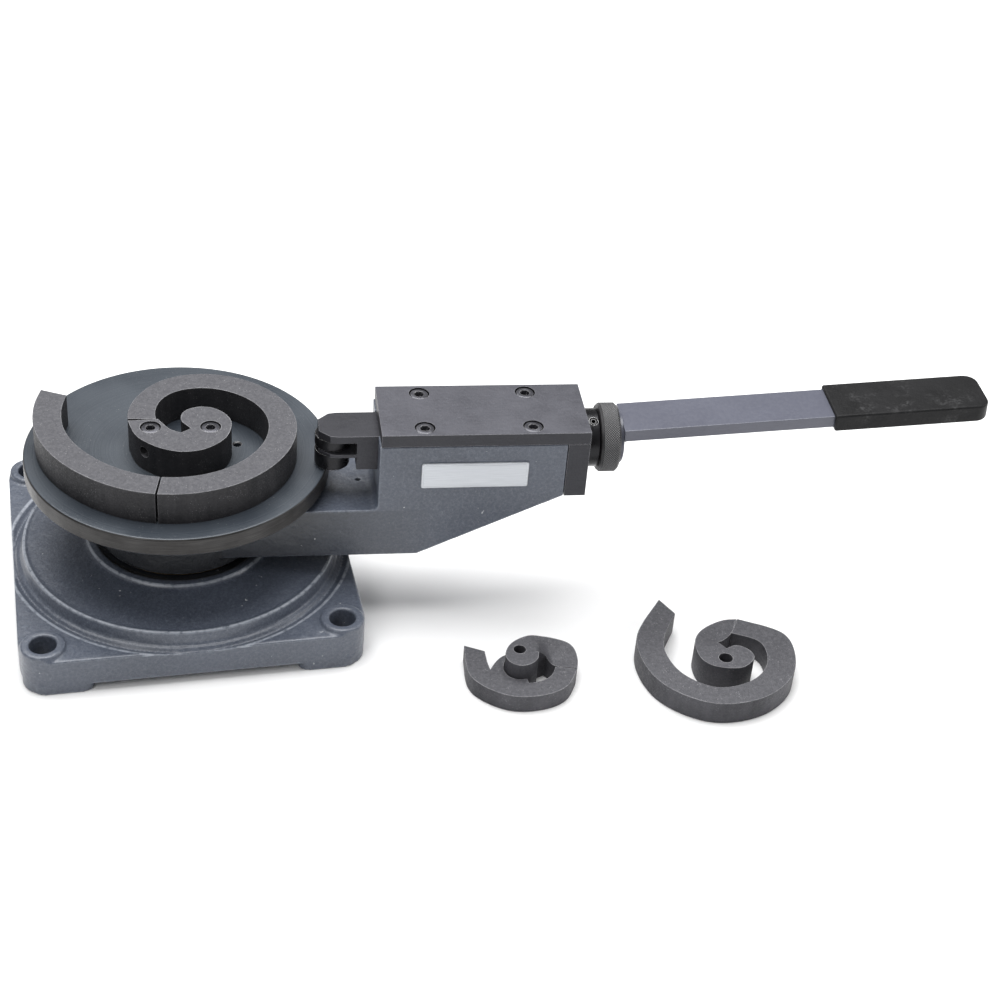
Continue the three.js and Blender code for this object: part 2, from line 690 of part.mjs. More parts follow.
const SPARES = {
  small: {
    place: [232, -152],
    height: 14,
    centerHeight: 26,
    splitDeg: -17,
    sweepDeg: 194,
    outer: [31, 31.5, 33, 39, 47, 52],
    inner: [15.5, 16.5, 18.5, 23.5, 31, 36.5],
    corners: [[29.8, -8.3], [14.6, -3.7], [8.6, 2.5], [3, 0.5]],
    round: [[0.4, -7.5], [-5.5, -12.4], [-13, -13.4], [-19.2, -9.5], [-21.6, -2], [-19, 5.5],
      [-13.4, 12], [-5.1, 16.3], [4.5, 18.3], [14, 18.8], [23.1, 17.2], [29.3, 14.3],
      [32.4, 8.5], [32.3, -0.5], [29.8, -8.3]],
    // the ring's inner end, which wraps the hook's far side
    tongue: [[-31.3, -0.6], [-27, 5.3], [-21.8, 10.5], [-16.4, 13.2], [-14.6, 12.2], [-17.4, 9.2],
      [-19.8, 5.8], [-21.4, 1.6], [-22.3, -2.4], [-21.6, -6.6], [-20.1, -10], [-17, -12.9],
      [-13.4, -14.2], [-8, -14.3], [-8, -20], [-20, -22], [-34, -10]],
    climbDeg: 15,
    climbTowardsDeg: 160,
    climbFrom: 31,
    hole: [-10.2, 3.6],
    holeR: 4.4,
  },
  large: {
    place: [368, -165],
    height: 18,
    centerHeight: 22,
    splitDeg: 58,
    sweepDeg: 305,
    outer: [43.1, 54.5, 52, 51, 54.5, 58, 62.5, 72],
    inner: [25.4, 32.4, 31.8, 32.4, 36.6, 38.4, 42.5, 53],
    corners: [[22.3, 36], [12.9, 20.7], [-0.8, 10], [2.4, 1]],
    round: [[8.5, 3.2], [14.5, 1.5], [19.2, -5], [18.6, -12.8], [7, -20.5], [-10, -17],
      [-18.6, -7.2], [-18.4, 9.5], [-12, 21.5], [-1, 30.6], [12, 36], [22.3, 36]],
    climbDeg: 4,
    climbTowardsDeg: 238,
    climbFrom: 40,
    hole: [-1.2, -8.8],
    holeR: 5,
  },
};

// ---------- the assembly ----------
const part = new THREE.Group();

piece(part, "base_casting", "hammertone", baseCasting());
piece(part, "spindle", "steel", spindle());
piece(part, "spindle_cross_pin", "steel", bar(3.8, [-44.5, 44.5], 0, 14, 16));
piece(part, "lower_thrust_washer", "bronze", turned([
  [SPINDLE_R + GAP, HUB_Z + 0.1],
  [56, HUB_Z + 0.1],
  [56, ARM_BOSS_Z - 0.1],
  [SPINDLE_R + GAP, ARM_BOSS_Z - 0.1],
  [SPINDLE_R + GAP, HUB_Z + 0.1],
]));
piece(part, "form_disc", "disc", formDisc());
DISC_SCREWS_DEG.forEach((deg, i) => {
  const screw = piece(part, `disc_screw_${i + 1}`, "oxide", socketScrew(M8, DISC_SCREW_LENGTH));
  screw.position.set(...polar(DISC_SCREW_RING, deg), DISC_SCREW_TOP);
});
piece(part, "form_center", "form", formCenter());
piece(part, "form_middle", "form", scrollBand(1, FORM_SPLIT_DEG));
piece(part, "form_outer", "form", scrollBand(FORM_SPLIT_DEG + FORM_SPLIT_GAP_DEG, FORM_END_DEG));
FORM_SCREWS.forEach(([x, y], i) => {
  const screw = piece(part, `form_screw_${i + 1}`, "oxide", socketScrew(M8, FORM_SCREW_LENGTH));
  screw.position.set(x, y, FORM_SCREW_TOP);
});
dowelPlaces().forEach(([x, y], i) => {
  piece(part, `form_dowel_${i + 1}`, "steel", post(DOWEL_R, [DISC_TOP - 7.4, DISC_TOP + 7], x, y, 16));
});
const clampScrew = cut(
  clampBar(CLAMP_R, CLAMP_INSET, CLAMP_INSET + CLAMP_LENGTH, 16),
  clampBar(2.2, 0, CLAMP_INSET + 4, 6),
);
piece(part, "bar_clamp_screw", "steel", clampScrew);

// The arm group turns about the spindle.
const arm = new THREE.Group();
arm.rotation.z = rad(ARM_REST_DEG);
part.add(arm);

piece(arm, "arm_casting", "hammertone", armCasting());
piece(arm, "arm_bush", "bronze", turned([
  [SPINDLE_R + RUN, ARM_BOSS_Z],
  [BUSH_R, ARM_BOSS_Z],
  [BUSH_R, ARM_BOSS_TOP],
  [SPINDLE_R + RUN, ARM_BOSS_TOP],
  [SPINDLE_R + RUN, ARM_BOSS_Z],
]));
piece(arm, "upper_thrust_washer", "bronze", turned([
  [SPINDLE_R + GAP, ARM_BOSS_TOP + 0.2],
  [52, ARM_BOSS_TOP + 0.2],
  [52, DISC_Z - 0.2],
  [SPINDLE_R + GAP, DISC_Z - 0.2],
  [SPINDLE_R + GAP, ARM_BOSS_TOP + 0.2],
]));
piece(arm, "slide_cover", "oxide", slideCover());
coverScrewPlaces().forEach(([x, y], i) => {
  const screw = piece(arm, `cover_screw_${i + 1}`, "oxide", socketScrew(M8, COVER_SCREW_LENGTH));
  screw.position.set(x, y, COVER_TOP - 0.4);
});
piece(arm, "end_plate", "oxide", endPlate());
plateScrewPlaces().forEach(([y, z], i) => {
  const screw = piece(arm, `end_plate_screw_${i + 1}`, "oxide", socketScrew(M6, PLATE_SCREW_LENGTH));
  screw.rotation.y = Math.PI / 2;
  screw.position.set(PLATE_SCREW_X, y, z);
});
piece(arm, "feed_bush", "oxide", feedBush());
piece(arm, "bush_grub_screw", "steel", bushGrubScrew());
piece(arm, "badge_plate", "badge", badgePlate());

piece(arm, "ram", "oxide", ramBody());
piece(arm, "roller_pin", "steel", rollerPin()).position.set(ROLLER_X, ARM_Y, 0);
piece(arm, "upper_roller", "oxide", roller(UPPER_ROLLER, 0)).position.set(ROLLER_X, ARM_Y, 0);
piece(arm, "lower_roller", "oxide", roller(LOWER_ROLLER, 2.8)).position.set(ROLLER_X, ARM_Y, 0);

piece(arm, "feed_screw", "steel", feedScrew());
piece(arm, "ring_key", "steel", ringKey());
piece(arm, "knurled_ring", "oxide", knurledRing());
piece(arm, "handle_bar", "lever", handleBar());
piece(arm, "handle_grip", "grip", handleGrip());

Object.entries(SPARES).forEach(([name, spec]) => {
  const center = piece(part, `spare_${name}_center`, "form", spareCenter(spec));
  const ring = piece(part, `spare_${name}_ring`, "form", spareRing(spec));
  [center, ring].forEach((mesh) => mesh.position.set(...spec.place, 0));
});

export default part;
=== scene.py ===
import json
import math

import bmesh
import bpy
from mathutils import Matrix, Vector


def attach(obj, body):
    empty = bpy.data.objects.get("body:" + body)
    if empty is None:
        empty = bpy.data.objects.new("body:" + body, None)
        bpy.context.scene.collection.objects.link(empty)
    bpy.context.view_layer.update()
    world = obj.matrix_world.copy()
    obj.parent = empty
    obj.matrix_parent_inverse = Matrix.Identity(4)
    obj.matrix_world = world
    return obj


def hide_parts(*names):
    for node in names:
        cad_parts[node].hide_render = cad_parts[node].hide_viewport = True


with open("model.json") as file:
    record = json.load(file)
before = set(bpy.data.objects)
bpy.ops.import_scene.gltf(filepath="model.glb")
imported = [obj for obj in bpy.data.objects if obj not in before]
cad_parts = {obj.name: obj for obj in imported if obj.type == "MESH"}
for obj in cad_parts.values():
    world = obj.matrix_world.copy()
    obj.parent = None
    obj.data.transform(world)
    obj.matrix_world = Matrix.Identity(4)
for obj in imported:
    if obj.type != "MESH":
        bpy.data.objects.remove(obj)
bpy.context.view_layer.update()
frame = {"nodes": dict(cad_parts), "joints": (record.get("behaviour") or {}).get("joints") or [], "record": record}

MM = 0.001
CAST_SMOOTH = 60  # castings are shaded smooth up to this angle
FULL = 2 * math.pi

# ---------- places, read from the frame ----------
JOINTS = {j["name"]: j for j in frame["joints"]}
FEED = JOINTS["feed_turn"]
ARM_TURN = math.atan2(FEED["axis"][1], FEED["axis"][0])
BASE_FRAME = Matrix.Identity(4)
ARM_FRAME = Matrix.Rotation(ARM_TURN, 4, "Z")


def span(node, turned=BASE_FRAME):
    """The lowest and highest corner of a CAD node in millimetres, in the frame it was drawn in."""
    back = turned.inverted()
    points = [back @ v.co for v in frame["nodes"][node].data.vertices]
    low = [min(p[i] for p in points) / MM for i in range(3)]
    high = [max(p[i] for p in points) / MM for i in range(3)]
    return Vector(low), Vector(high)


def middle(node, turned=BASE_FRAME):
    low, high = span(node, turned)
    return (low + high) / 2


FEED_AXIS = (ARM_FRAME.inverted() @ Vector(FEED["pos_m"])) / MM
AXIS_Y, AXIS_Z = FEED_AXIS.y, FEED_AXIS.z
DISC_LOW, DISC_HIGH = span("form_disc")
DISC_TOP = DISC_HIGH.z
RING_LOW, RING_HIGH = span("knurled_ring", ARM_FRAME)
KNURL_R = (RING_HIGH.z - RING_LOW.z) / 2
KNURL_DEPTH = 0.38


# ---------- mesh tools ----------
def shown(bm, name="shape"):
    bmesh.ops.recalc_face_normals(bm, faces=bm.faces)
    mesh = bpy.data.meshes.new(name)
    bm.to_mesh(mesh)
    bm.free()
    obj = bpy.data.objects.new(name, mesh)
    bpy.context.scene.collection.objects.link(obj)
    return obj


def bridge(bm, rings):
    """Faces between each ring of points and the next. A ring of one point is a pole."""
    for a, b in zip(rings, rings[1:]):
        count = max(len(a), len(b))
        for i in range(count):
            j = (i + 1) % count
            corners = [a[i % len(a)], a[j % len(a)], b[j % len(b)], b[i % len(b)]]
            distinct = list(dict.fromkeys(corners))
            if len(distinct) > 2:
                bm.faces.new(distinct)


def prism(outline, low, high):
    """A straight body over an outline of (x, y) points."""
    bm = bmesh.new()
    under = [bm.verts.new((x, y, low)) for x, y in outline]
    over = [bm.verts.new((x, y, high)) for x, y in outline]
    bm.faces.new(under)
    bm.faces.new(over)
    bridge(bm, [under, over])
    return shown(bm)


def block(x, y, z):
    """A box from three (low, high) pairs."""
    return prism([(x[0], y[0]), (x[1], y[0]), (x[1], y[1]), (x[0], y[1])], *z)


def cad_block(node, turned):
    """A plain box over the extent of a CAD node."""
    return block(*zip(*span(node, turned)))


def lathe(profile, segments=160, relief=None):
    """A body turned about Z from (radius, height) points that start and end on the axis, or that
    close on themselves. relief(angle, radius, height) may add to a radius."""
    bm = bmesh.new()
    closed = profile[0] == profile[-1]
    rings = []
    for radius, height in profile[:-1] if closed else profile:
        if radius < 1e-6:
            rings.append([bm.verts.new((0, 0, height))])
            continue
        ring = []
        for i in range(segments):
            angle = FULL * i / segments
            r = radius + (relief(angle, radius, height) if relief else 0)
            ring.append(bm.verts.new((r * math.cos(angle), r * math.sin(angle), height)))
        rings.append(ring)
    if closed:
        rings.append(rings[0])
    bridge(bm, rings)
    return shown(bm)


def post(radius, low, high, x=0, y=0, segments=64):
    """An upright round bar."""
    obj = lathe([(0, low), (radius, low), (radius, high), (0, high)], segments)
    return moved(obj, Matrix.Translation((x, y, 0)))


def moved(obj, matrix):
    obj.data.transform(matrix)
    return obj


STAND_UP = Matrix.Rotation(math.pi / 2, 4, "X")
ONTO_X = Matrix.Rotation(math.pi / 2, 4, "Y")
ONTO_FEED = Matrix.Translation((0, AXIS_Y, AXIS_Z)) @ ONTO_X


def along_feed(profile, segments=160, relief=None):
    """A body turned about the feed screw's axis from (radius, x) points."""
    return moved(lathe(profile, segments, relief), ONTO_FEED)


def pointing(direction, axis="Z"):
    """The turn that aims an axis of a body in a direction."""
    return direction.to_track_quat(axis, "Y").to_matrix().to_4x4()


def bar_along(radius, start, end, segments=48):
    """A round bar between two points."""
    start, end = Vector(start), Vector(end)
    bar = post(radius, 0, (end - start).length, 0, 0, segments)
    return moved(bar, Matrix.Translation(start) @ pointing(end - start))


def baked(obj):
    """Applies the object's modifiers."""
    bpy.context.view_layer.update()
    graph = bpy.context.evaluated_depsgraph_get()
    mesh = bpy.data.meshes.new_from_object(obj.evaluated_get(graph))
    obj.modifiers.clear()
    obj.data = mesh
    return obj


def combined(obj, others, operation):
    """Joins or cuts with other bodies one after the other, and uses them up."""
    for other in others:
        step = obj.modifiers.new("step", "BOOLEAN")
        step.operation = operation
        step.solver = "EXACT"
        step.object = other
        baked(obj)
        bpy.data.objects.remove(other)
    return obj


def joined(obj, *others):
    return combined(obj, others, "UNION")


def cut(obj, *others):
    return combined(obj, others, "DIFFERENCE")


def edged(obj, width, steps=2, angle=30):
    """Breaks the edges of a machined body."""
    bm = bmesh.new()
    bm.from_mesh(obj.data)
    bmesh.ops.remove_doubles(bm, verts=bm.verts, dist=1e-4)
    bmesh.ops.dissolve_limit(bm, angle_limit=math.radians(0.5), verts=bm.verts, edges=bm.edges)
    bm.to_mesh(obj.data)
    bm.free()
    bevel = obj.modifiers.new("edges", "BEVEL")
    bevel.width = width
    bevel.segments = steps
    bevel.limit_method = "ANGLE"
    bevel.angle_limit = math.radians(angle)
    bevel.use_clamp_overlap = True
    return baked(obj)


def as_cast(obj, grain, passes):
    """Rounds every edge and corner of a casting, inside ones too."""
    remesh = obj.modifiers.new("remesh", "REMESH")
    remesh.mode = "VOXEL"
    remesh.voxel_size = grain
    soften = obj.modifiers.new("soften", "SMOOTH")
    soften.factor = 0.5
    soften.iterations = passes
    return baked(obj)


def arc(cx, cy, radius, start, end, steps=10):
    """Points of an arc, angles in degrees."""
    turns = [math.radians(start + (end - start) * i / steps) for i in range(steps + 1)]
    return [(cx + radius * math.cos(t), cy + radius * math.sin(t)) for t in turns]


def rounded_rectangle(x, y, radius, steps=10):
    return (
        arc(x[1] - radius, y[0] + radius, radius, -90, 0, steps)
        + arc(x[1] - radius, y[1] - radius, radius, 0, 90, steps)
        + arc(x[0] + radius, y[1] - radius, radius, 90, 180, steps)
        + arc(x[0] + radius, y[0] + radius, radius, 180, 270, steps)
    )


def softened(profile, radius, steps=4):
    """A profile whose inner points are replaced by small curves that cut off radius each way."""
    result = [profile[0]]
    for before, here, after in zip(profile, profile[1:], profile[2:]):
        p, q, r = Vector(before), Vector(here), Vector(after)
        reach = min(radius, (p - q).length * 0.45, (r - q).length * 0.45)
        a = q + (p - q).normalized() * reach
        b = q + (r - q).normalized() * reach
        for i in range(steps + 1):
            t = i / steps
            result.append(tuple(a * (1 - t) ** 2 + q * 2 * t * (1 - t) + b * t * t))
    return result + [profile[-1]]


def even_flats(obj):
    """Keeps the shading of large flat faces flat next to broken edges."""
    weight = obj.modifiers.new("weight", "WEIGHTED_NORMAL")
    weight.mode = "FACE_AREA"
    weight.keep_sharp = True
    return baked(obj)


def delivered(obj, name, body, slot, material, node=None, turned=BASE_FRAME, smooth=35):
    """Puts a finished body in its place in metres, on its CAD body, with its material."""
    moved(obj, turned @ Matrix.Scale(MM, 4))
    obj.name = name
    obj.data.name = name
    if not obj.data.materials:
        obj.data.materials.append(material)
    obj.data.shade_smooth()
    obj.data.set_sharp_from_angle(angle=math.radians(smooth))
    if smooth < CAST_SMOOTH:
        even_flats(obj)
        obj.data.name = name
    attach(obj, body)
    if node:
        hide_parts(node)
    return obj


# ---------- materials ----------
class Recipe:
    """A short way to write one procedural material."""

    def __init__(self, name, roughness, metallic=0.0, coat=0.0):
        self.material = bpy.data.materials.new(name)
        self.material.use_nodes = True
        self.tree = self.material.node_tree
        self.shader = self.tree.nodes["Principled BSDF"]
        self.shader.inputs["Roughness"].default_value = roughness
        self.shader.inputs["Metallic"].default_value = metallic
        if coat > 0:
            self.shader.inputs["Coat Weight"].default_value = coat
            self.shader.inputs["Coat Roughness"].default_value = 0.25
        self.place = self.node("ShaderNodeTexCoord").outputs["Object"]
        self.height = None

    def node(self, kind, **values):
        made = self.tree.nodes.new(kind)
        for key, value in values.items():
            setattr(made, key, value)
        return made

    def link(self, source, target):
        self.tree.links.new(source, target)

    def stretched(self, scale, turn=0.0):
        """The object's coordinates with an uneven scale, after a turn about Z."""
        mapping = self.node("ShaderNodeMapping", vector_type="POINT")
        spin = self.node("ShaderNodeMapping", vector_type="POINT")
        spin.inputs["Rotation"].default_value = (0, 0, turn)
        mapping.inputs["Scale"].default_value = scale
        self.link(self.place, spin.inputs["Vector"])
        self.link(spin.outputs[0], mapping.inputs["Vector"])
        return mapping.outputs[0]

    def noise(self, scale, detail=3.0, rough=0.5, place=None, low=0.35, high=0.65):
        """Cloudy noise, spread from 0 to 1 between its low and high value."""
        made = self.node("ShaderNodeTexNoise")
        made.inputs["Scale"].default_value = scale
        made.inputs["Detail"].default_value = detail
        made.inputs["Roughness"].default_value = rough
        self.link(place or self.place, made.inputs["Vector"])
        return self.ranged(made.outputs["Fac"], low, high)

    def cells(self, scale, low, high, smooth=False):
        made = self.node("ShaderNodeTexVoronoi")
        if smooth:
            made.feature = "SMOOTH_F1"
        made.inputs["Scale"].default_value = scale
        self.link(self.place, made.inputs["Vector"])
        return self.ranged(made.outputs["Distance"], low, high)

    def ranged(self, source, low, high, to_low=0.0, to_high=1.0):
        made = self.node("ShaderNodeMapRange", clamp=True)
        for key, value in (("From Min", low), ("From Max", high), ("To Min", to_low), ("To Max", to_high)):
            made.inputs[key].default_value = value
        self.link(source, made.inputs["Value"])
        return made.outputs[0]

    def math(self, operation, a, b):
        made = self.node("ShaderNodeMath", operation=operation)
        for socket, value in zip(made.inputs, (a, b)):
            if isinstance(value, (int, float)):
                socket.default_value = value
            else:
                self.link(value, socket)
        return made.outputs[0]

    def times(self, a, b):
        return self.math("MULTIPLY", a, b)

    def length(self, place):
        """How far a place is from the origin."""
        made = self.node("ShaderNodeVectorMath", operation="LENGTH")
        self.link(place, made.inputs[0])
        return made.outputs["Value"]

    def mixed(self, factor, a, b):
        """Colour a where factor is 0 and b where it is 1."""
        made = self.node("ShaderNodeMix", data_type="RGBA")
        for socket, value in ((made.inputs[6], a), (made.inputs[7], b)):
            if isinstance(value, tuple):
                socket.default_value = (*value, 1)
            else:
                self.link(value, socket)
        if isinstance(factor, (int, float)):
            made.inputs[0].default_value = factor
        else:
            self.link(factor, made.inputs[0])
        return made.outputs[2]

    def edges(self, radius, low=0.03, high=0.3):
        """1 on outer and inner edges, 0 on flats."""
        bevel = self.node("ShaderNodeBevel", samples=4)
        bevel.inputs["Radius"].default_value = radius
        straight = self.node("ShaderNodeNewGeometry").outputs["Normal"]
        dot = self.node("ShaderNodeVectorMath", operation="DOT_PRODUCT")
        self.link(bevel.outputs[0], dot.inputs[0])
        self.link(straight, dot.inputs[1])
        return self.ranged(self.math("SUBTRACT", 1.0, dot.outputs["Value"]), low, high)

    def colour(self, source):
        self.link(source, self.shader.inputs["Base Color"])

    def roughness(self, source, low, high):
        self.link(self.ranged(source, 0, 1, low, high), self.shader.inputs["Roughness"])

    def bump(self, source, distance, strength=1.0):
        """Adds a relief of that many metres."""
        made = self.node("ShaderNodeBump")
        made.inputs["Distance"].default_value = distance
        made.inputs["Strength"].default_value = strength
        self.link(source, made.inputs["Height"])
        if self.height:
            self.link(self.height, made.inputs["Normal"])
        self.height = made.outputs[0]
        self.link(self.height, self.shader.inputs["Normal"])


def lit(light, *colour):
    """A colour made lighter or darker."""
    return tuple(part * light for part in colour)


# radius, width and height in mm of the base's raised ridges, whose crests are drawn pale: rubbed paint and a
# painted highlight
RIDGES = ((111.8, 1.3, 36.6), (124.4, 1.6, 26.6), (67.2, 1.2, 41.8))
RIDGE_HEIGHT = 3

# the arm is painted dark on its boss and along the near end of its beam, as painted shade under the disc: where
# the shade fades out on the way from the spindle, and the heights it lies between, in mm
BOSS_SHADE_FADE, BOSS_SHADE_TOP = (60, 64), 95.3
BEAM_SHADE_FADE, BEAM_SHADE_LOW, BEAM_SHADE_TOP = (100, 190), 50, 94


def between(m, value, low, high):
    """1 where a value lies between two limits in millimetres, 0 elsewhere."""
    over = m.math("GREATER_THAN", value, low * MM)
    return m.times(over, m.math("LESS_THAN", value, high * MM))


def fading(m, value, start, end, full=1):
    """Falls from full to 0 between two distances in millimetres."""
    return m.ranged(value, start * MM, end * MM, full, 0)


def painted_shade_on_arm(m, distance, height):
    # painted shade: darkens the boss under the disc and the near end of the beam, fading with distance from the
    # spindle
    below_top = m.math("LESS_THAN", height, BOSS_SHADE_TOP * MM)
    on_boss = m.times(fading(m, distance, *BOSS_SHADE_FADE), below_top)
    beam_band = between(m, height, BEAM_SHADE_LOW, BEAM_SHADE_TOP)
    on_beam = m.times(fading(m, distance, *BEAM_SHADE_FADE, full=0.75), beam_band)
    return m.math("MAXIMUM", m.times(on_boss, 0.93), on_beam)


def base_ridges(m, distance, height):
    """1 on the crests of the base's ridges."""
    ridges = 0.0
    for radius, width, low in RIDGES:
        off = m.math("ABSOLUTE", m.math("SUBTRACT", distance, radius * MM), 0)
        crest = fading(m, off, width * 0.4, width)
        ridge = m.times(crest, between(m, height, low, low + RIDGE_HEIGHT))
        ridges = m.math("MAXIMUM", ridges, ridge)
    return ridges


def hammertone():
    """Blue-grey hammered enamel on a sand casting: pale dimples, chips, brighter edges (worn paint and a painted
    highlight), and painted shade on the arm near the disc.
    """
    m = Recipe("hammertone_paint", 0.42, 0.0, coat=0.35)
    patches = m.noise(14, 3)
    dimples = m.cells(520, 0.1, 0.75, smooth=True)
    grain = m.noise(1500, 2)
    ground = m.mixed(patches, (0.048, 0.058, 0.081), (0.062, 0.074, 0.102))
    flecked = m.mixed(m.times(grain, dimples), ground, (0.120, 0.137, 0.172))
    split = m.node("ShaderNodeSeparateXYZ")
    m.link(m.place, split.inputs[0])
    distance, height = m.length(m.stretched((1, 1, 0))), split.outputs["Z"]
    # painted shade on the arm's boss and beam near the disc
    with_painted_shade = m.mixed(painted_shade_on_arm(m, distance, height), flecked, (0.010, 0.011, 0.013))
    # pale edges and ridge crests: worn paint and a painted highlight
    edge_wear_and_highlight = m.math("MAXIMUM", m.edges(0.0026, 0.02, 0.16), base_ridges(m, distance, height))
    worn_and_highlit = m.times(edge_wear_and_highlight, m.noise(260, 4, 0.6, low=0.28, high=0.52))
    edged_paint = m.mixed(m.times(worn_and_highlit, 0.85), with_painted_shade, (0.31, 0.335, 0.38))
    chips = m.times(m.noise(340, 2, low=0.74, high=0.76), m.noise(23, 2, low=0.5, high=0.6))
    m.colour(m.mixed(chips, edged_paint, (0.62, 0.63, 0.64)))
    m.roughness(grain, 0.34, 0.52)
    m.bump(m.noise(95, 4), 0.00035)
    m.bump(dimples, 0.00012)
    m.bump(grain, 0.00004)
    return m.material


def disc_face():
    """Satin grey-green enamel with the rings of the lathe showing through."""
    m = Recipe("disc_enamel", 0.4, 0.15, coat=0.2)
    rings = m.node("ShaderNodeTexNoise", noise_dimensions="1D")
    rings.inputs["Scale"].default_value = 900
    rings.inputs["Detail"].default_value = 3
    m.link(m.length(m.stretched((1, 1, 0))), rings.inputs["W"])
    lines = m.ranged(rings.outputs["Fac"], 0.35, 0.65)
    patches = m.noise(18, 3)
    ground = m.mixed(patches, (0.030, 0.038, 0.050), (0.044, 0.054, 0.068))
    lined = m.mixed(m.times(lines, 0.35), ground, (0.072, 0.085, 0.100))
    dust = m.times(m.noise(900, 2, low=0.68, high=0.74), m.noise(40, 2, low=0.45, high=0.6))
    dusty = m.mixed(m.times(dust, 0.5), lined, (0.42, 0.43, 0.42))
    # pale edges: a painted highlight
    m.colour(m.mixed(m.edges(0.0010), dusty, (0.40, 0.41, 0.43)))
    m.roughness(patches, 0.33, 0.47)
    m.bump(lines, 0.00003)
    m.bump(m.noise(700, 3), 0.00004)
    return m.material


def disc_rim():
    """The turned rim: bare, brownish steel under thin oil."""
    m = Recipe("disc_rim", 0.42, 0.55)
    bands = m.noise(60, 3, place=m.stretched((1, 1, 26)))
    stains = m.noise(35, 4, 0.6)
    ground = m.mixed(bands, (0.024, 0.023, 0.023), (0.046, 0.044, 0.043))
    stained = m.mixed(m.times(stains, 0.5), ground, (0.018, 0.016, 0.015))
    # pale edges of the rim: a painted highlight
    m.colour(m.mixed(m.edges(0.0011, 0.02, 0.15), stained, (0.42, 0.43, 0.44)))
    m.roughness(stains, 0.32, 0.52)
    m.bump(bands, 0.00003)
    return m.material


def form_top():
    """The ground top of a scroll form: grey iron, speckled with bare spots."""
    m = Recipe("form_top", 0.62, 0.3)
    clouds = m.noise(30, 4, 0.6)
    grain = m.noise(2300, 3)
    mottle = m.noise(420, 5, 0.75, low=0.4, high=0.6)
    ground = m.mixed(clouds, (0.068, 0.068, 0.077), (0.090, 0.090, 0.100))
    grained = m.mixed(m.times(grain, 0.6), ground, (0.150, 0.149, 0.160))
    mottled = m.mixed(m.times(mottle, 0.6), grained, (0.046, 0.046, 0.054))
    specks = m.times(m.cells(620, 0.23, 0.12), m.noise(150, 2, low=0.5, high=0.58))
    speckled = m.mixed(m.times(specks, 0.55), mottled, (0.40, 0.40, 0.41))
    # pale broken edges: rubbed iron and a painted highlight
    edge_wear_and_highlight = m.times(m.edges(0.0011, 0.02, 0.16), m.noise(300, 4, 0.6, low=0.3, high=0.55))
    m.colour(m.mixed(edge_wear_and_highlight, speckled, (0.36, 0.36, 0.375)))
    m.roughness(clouds, 0.52, 0.70)
    m.bump(m.noise(420, 4, 0.6), 0.00012)
    m.bump(grain, 0.00003)
    return m.material


def form_side(name="form_side", light=1.0):
    """The cast side of a scroll form: blackened, rough, faint upright tool marks."""
    m = Recipe(name, 0.6, 0.2)
    clouds = m.noise(24, 4, 0.6)
    pits = m.noise(800, 4, 0.65)
    ground = m.mixed(clouds, lit(light, 0.009, 0.009, 0.011), lit(light, 0.020, 0.020, 0.023))
    streaks = m.noise(150, 3, place=m.stretched((1, 1, 0.08)))
    streaked = m.mixed(m.times(streaks, 0.35 / light), ground, lit(light, 0.045, 0.043, 0.047))
    specks = m.times(m.cells(700, 0.2, 0.1), m.noise(90, 2, low=0.5, high=0.58))
    speckled = m.mixed(m.times(specks, 0.5), streaked, (0.30, 0.30, 0.31))
    # pale broken edges: worn iron and a painted highlight
    m.colour(m.mixed(m.times(m.edges(0.0010), 0.8), speckled, (0.22, 0.22, 0.23)))
    m.roughness(pits, 0.48, 0.72)
    m.bump(m.noise(240, 4, 0.6), 0.0002)
    m.bump(pits, 0.00008)
    return m.material


def oxide_ground(name="black_oxide", light=1.0):
    """Ground steel with black oxide: fine lines along the arm, violet-grey sheen, pale edges that are bare steel
    and a painted highlight.
    """
    m = Recipe(name, 0.4, 0.55)
    lines = m.noise(90, 4, 0.65, place=m.stretched((1, 14, 14), -ARM_TURN))
    clouds = m.noise(26, 4, 0.6)
    grain = m.noise(1800, 2)
    ground = m.mixed(clouds, lit(light, 0.060, 0.061, 0.074), lit(light, 0.080, 0.081, 0.096))
    lined = m.mixed(m.times(lines, 0.4), ground, lit(light, 0.120, 0.120, 0.138))
    grained = m.mixed(m.times(grain, 0.35), lined, lit(light, 0.150, 0.150, 0.168))
    # pale edges: bare steel and a painted highlight
    m.colour(m.mixed(m.times(m.edges(0.0007), 0.85), grained, (0.34, 0.34, 0.36)))
    m.roughness(clouds, 0.36, 0.50)
    m.bump(m.noise(330, 4, 0.6), 0.00006)
    m.bump(lines, 0.00002)
    m.bump(grain, 0.00002)
    return m.material


def oxide_dark(name="black_oxide_turned", edge=0.55, light=1.0):
    """Small turned and forged parts in black oxide, with bright edges that are a painted highlight."""
    m = Recipe(name, 0.34, 0.6)
    clouds = m.noise(120, 3)
    ground = m.mixed(clouds, lit(0.009 * light, 1, 1, 1.2), lit(0.019 * light, 1, 1, 1.15))
    # bright edges: a painted highlight
    m.colour(m.mixed(m.edges(0.0006, 0.02, 0.2), ground, (edge, edge, edge)))
    m.roughness(clouds, 0.26, 0.42)
    m.bump(m.noise(900, 3), 0.00002)
    return m.material


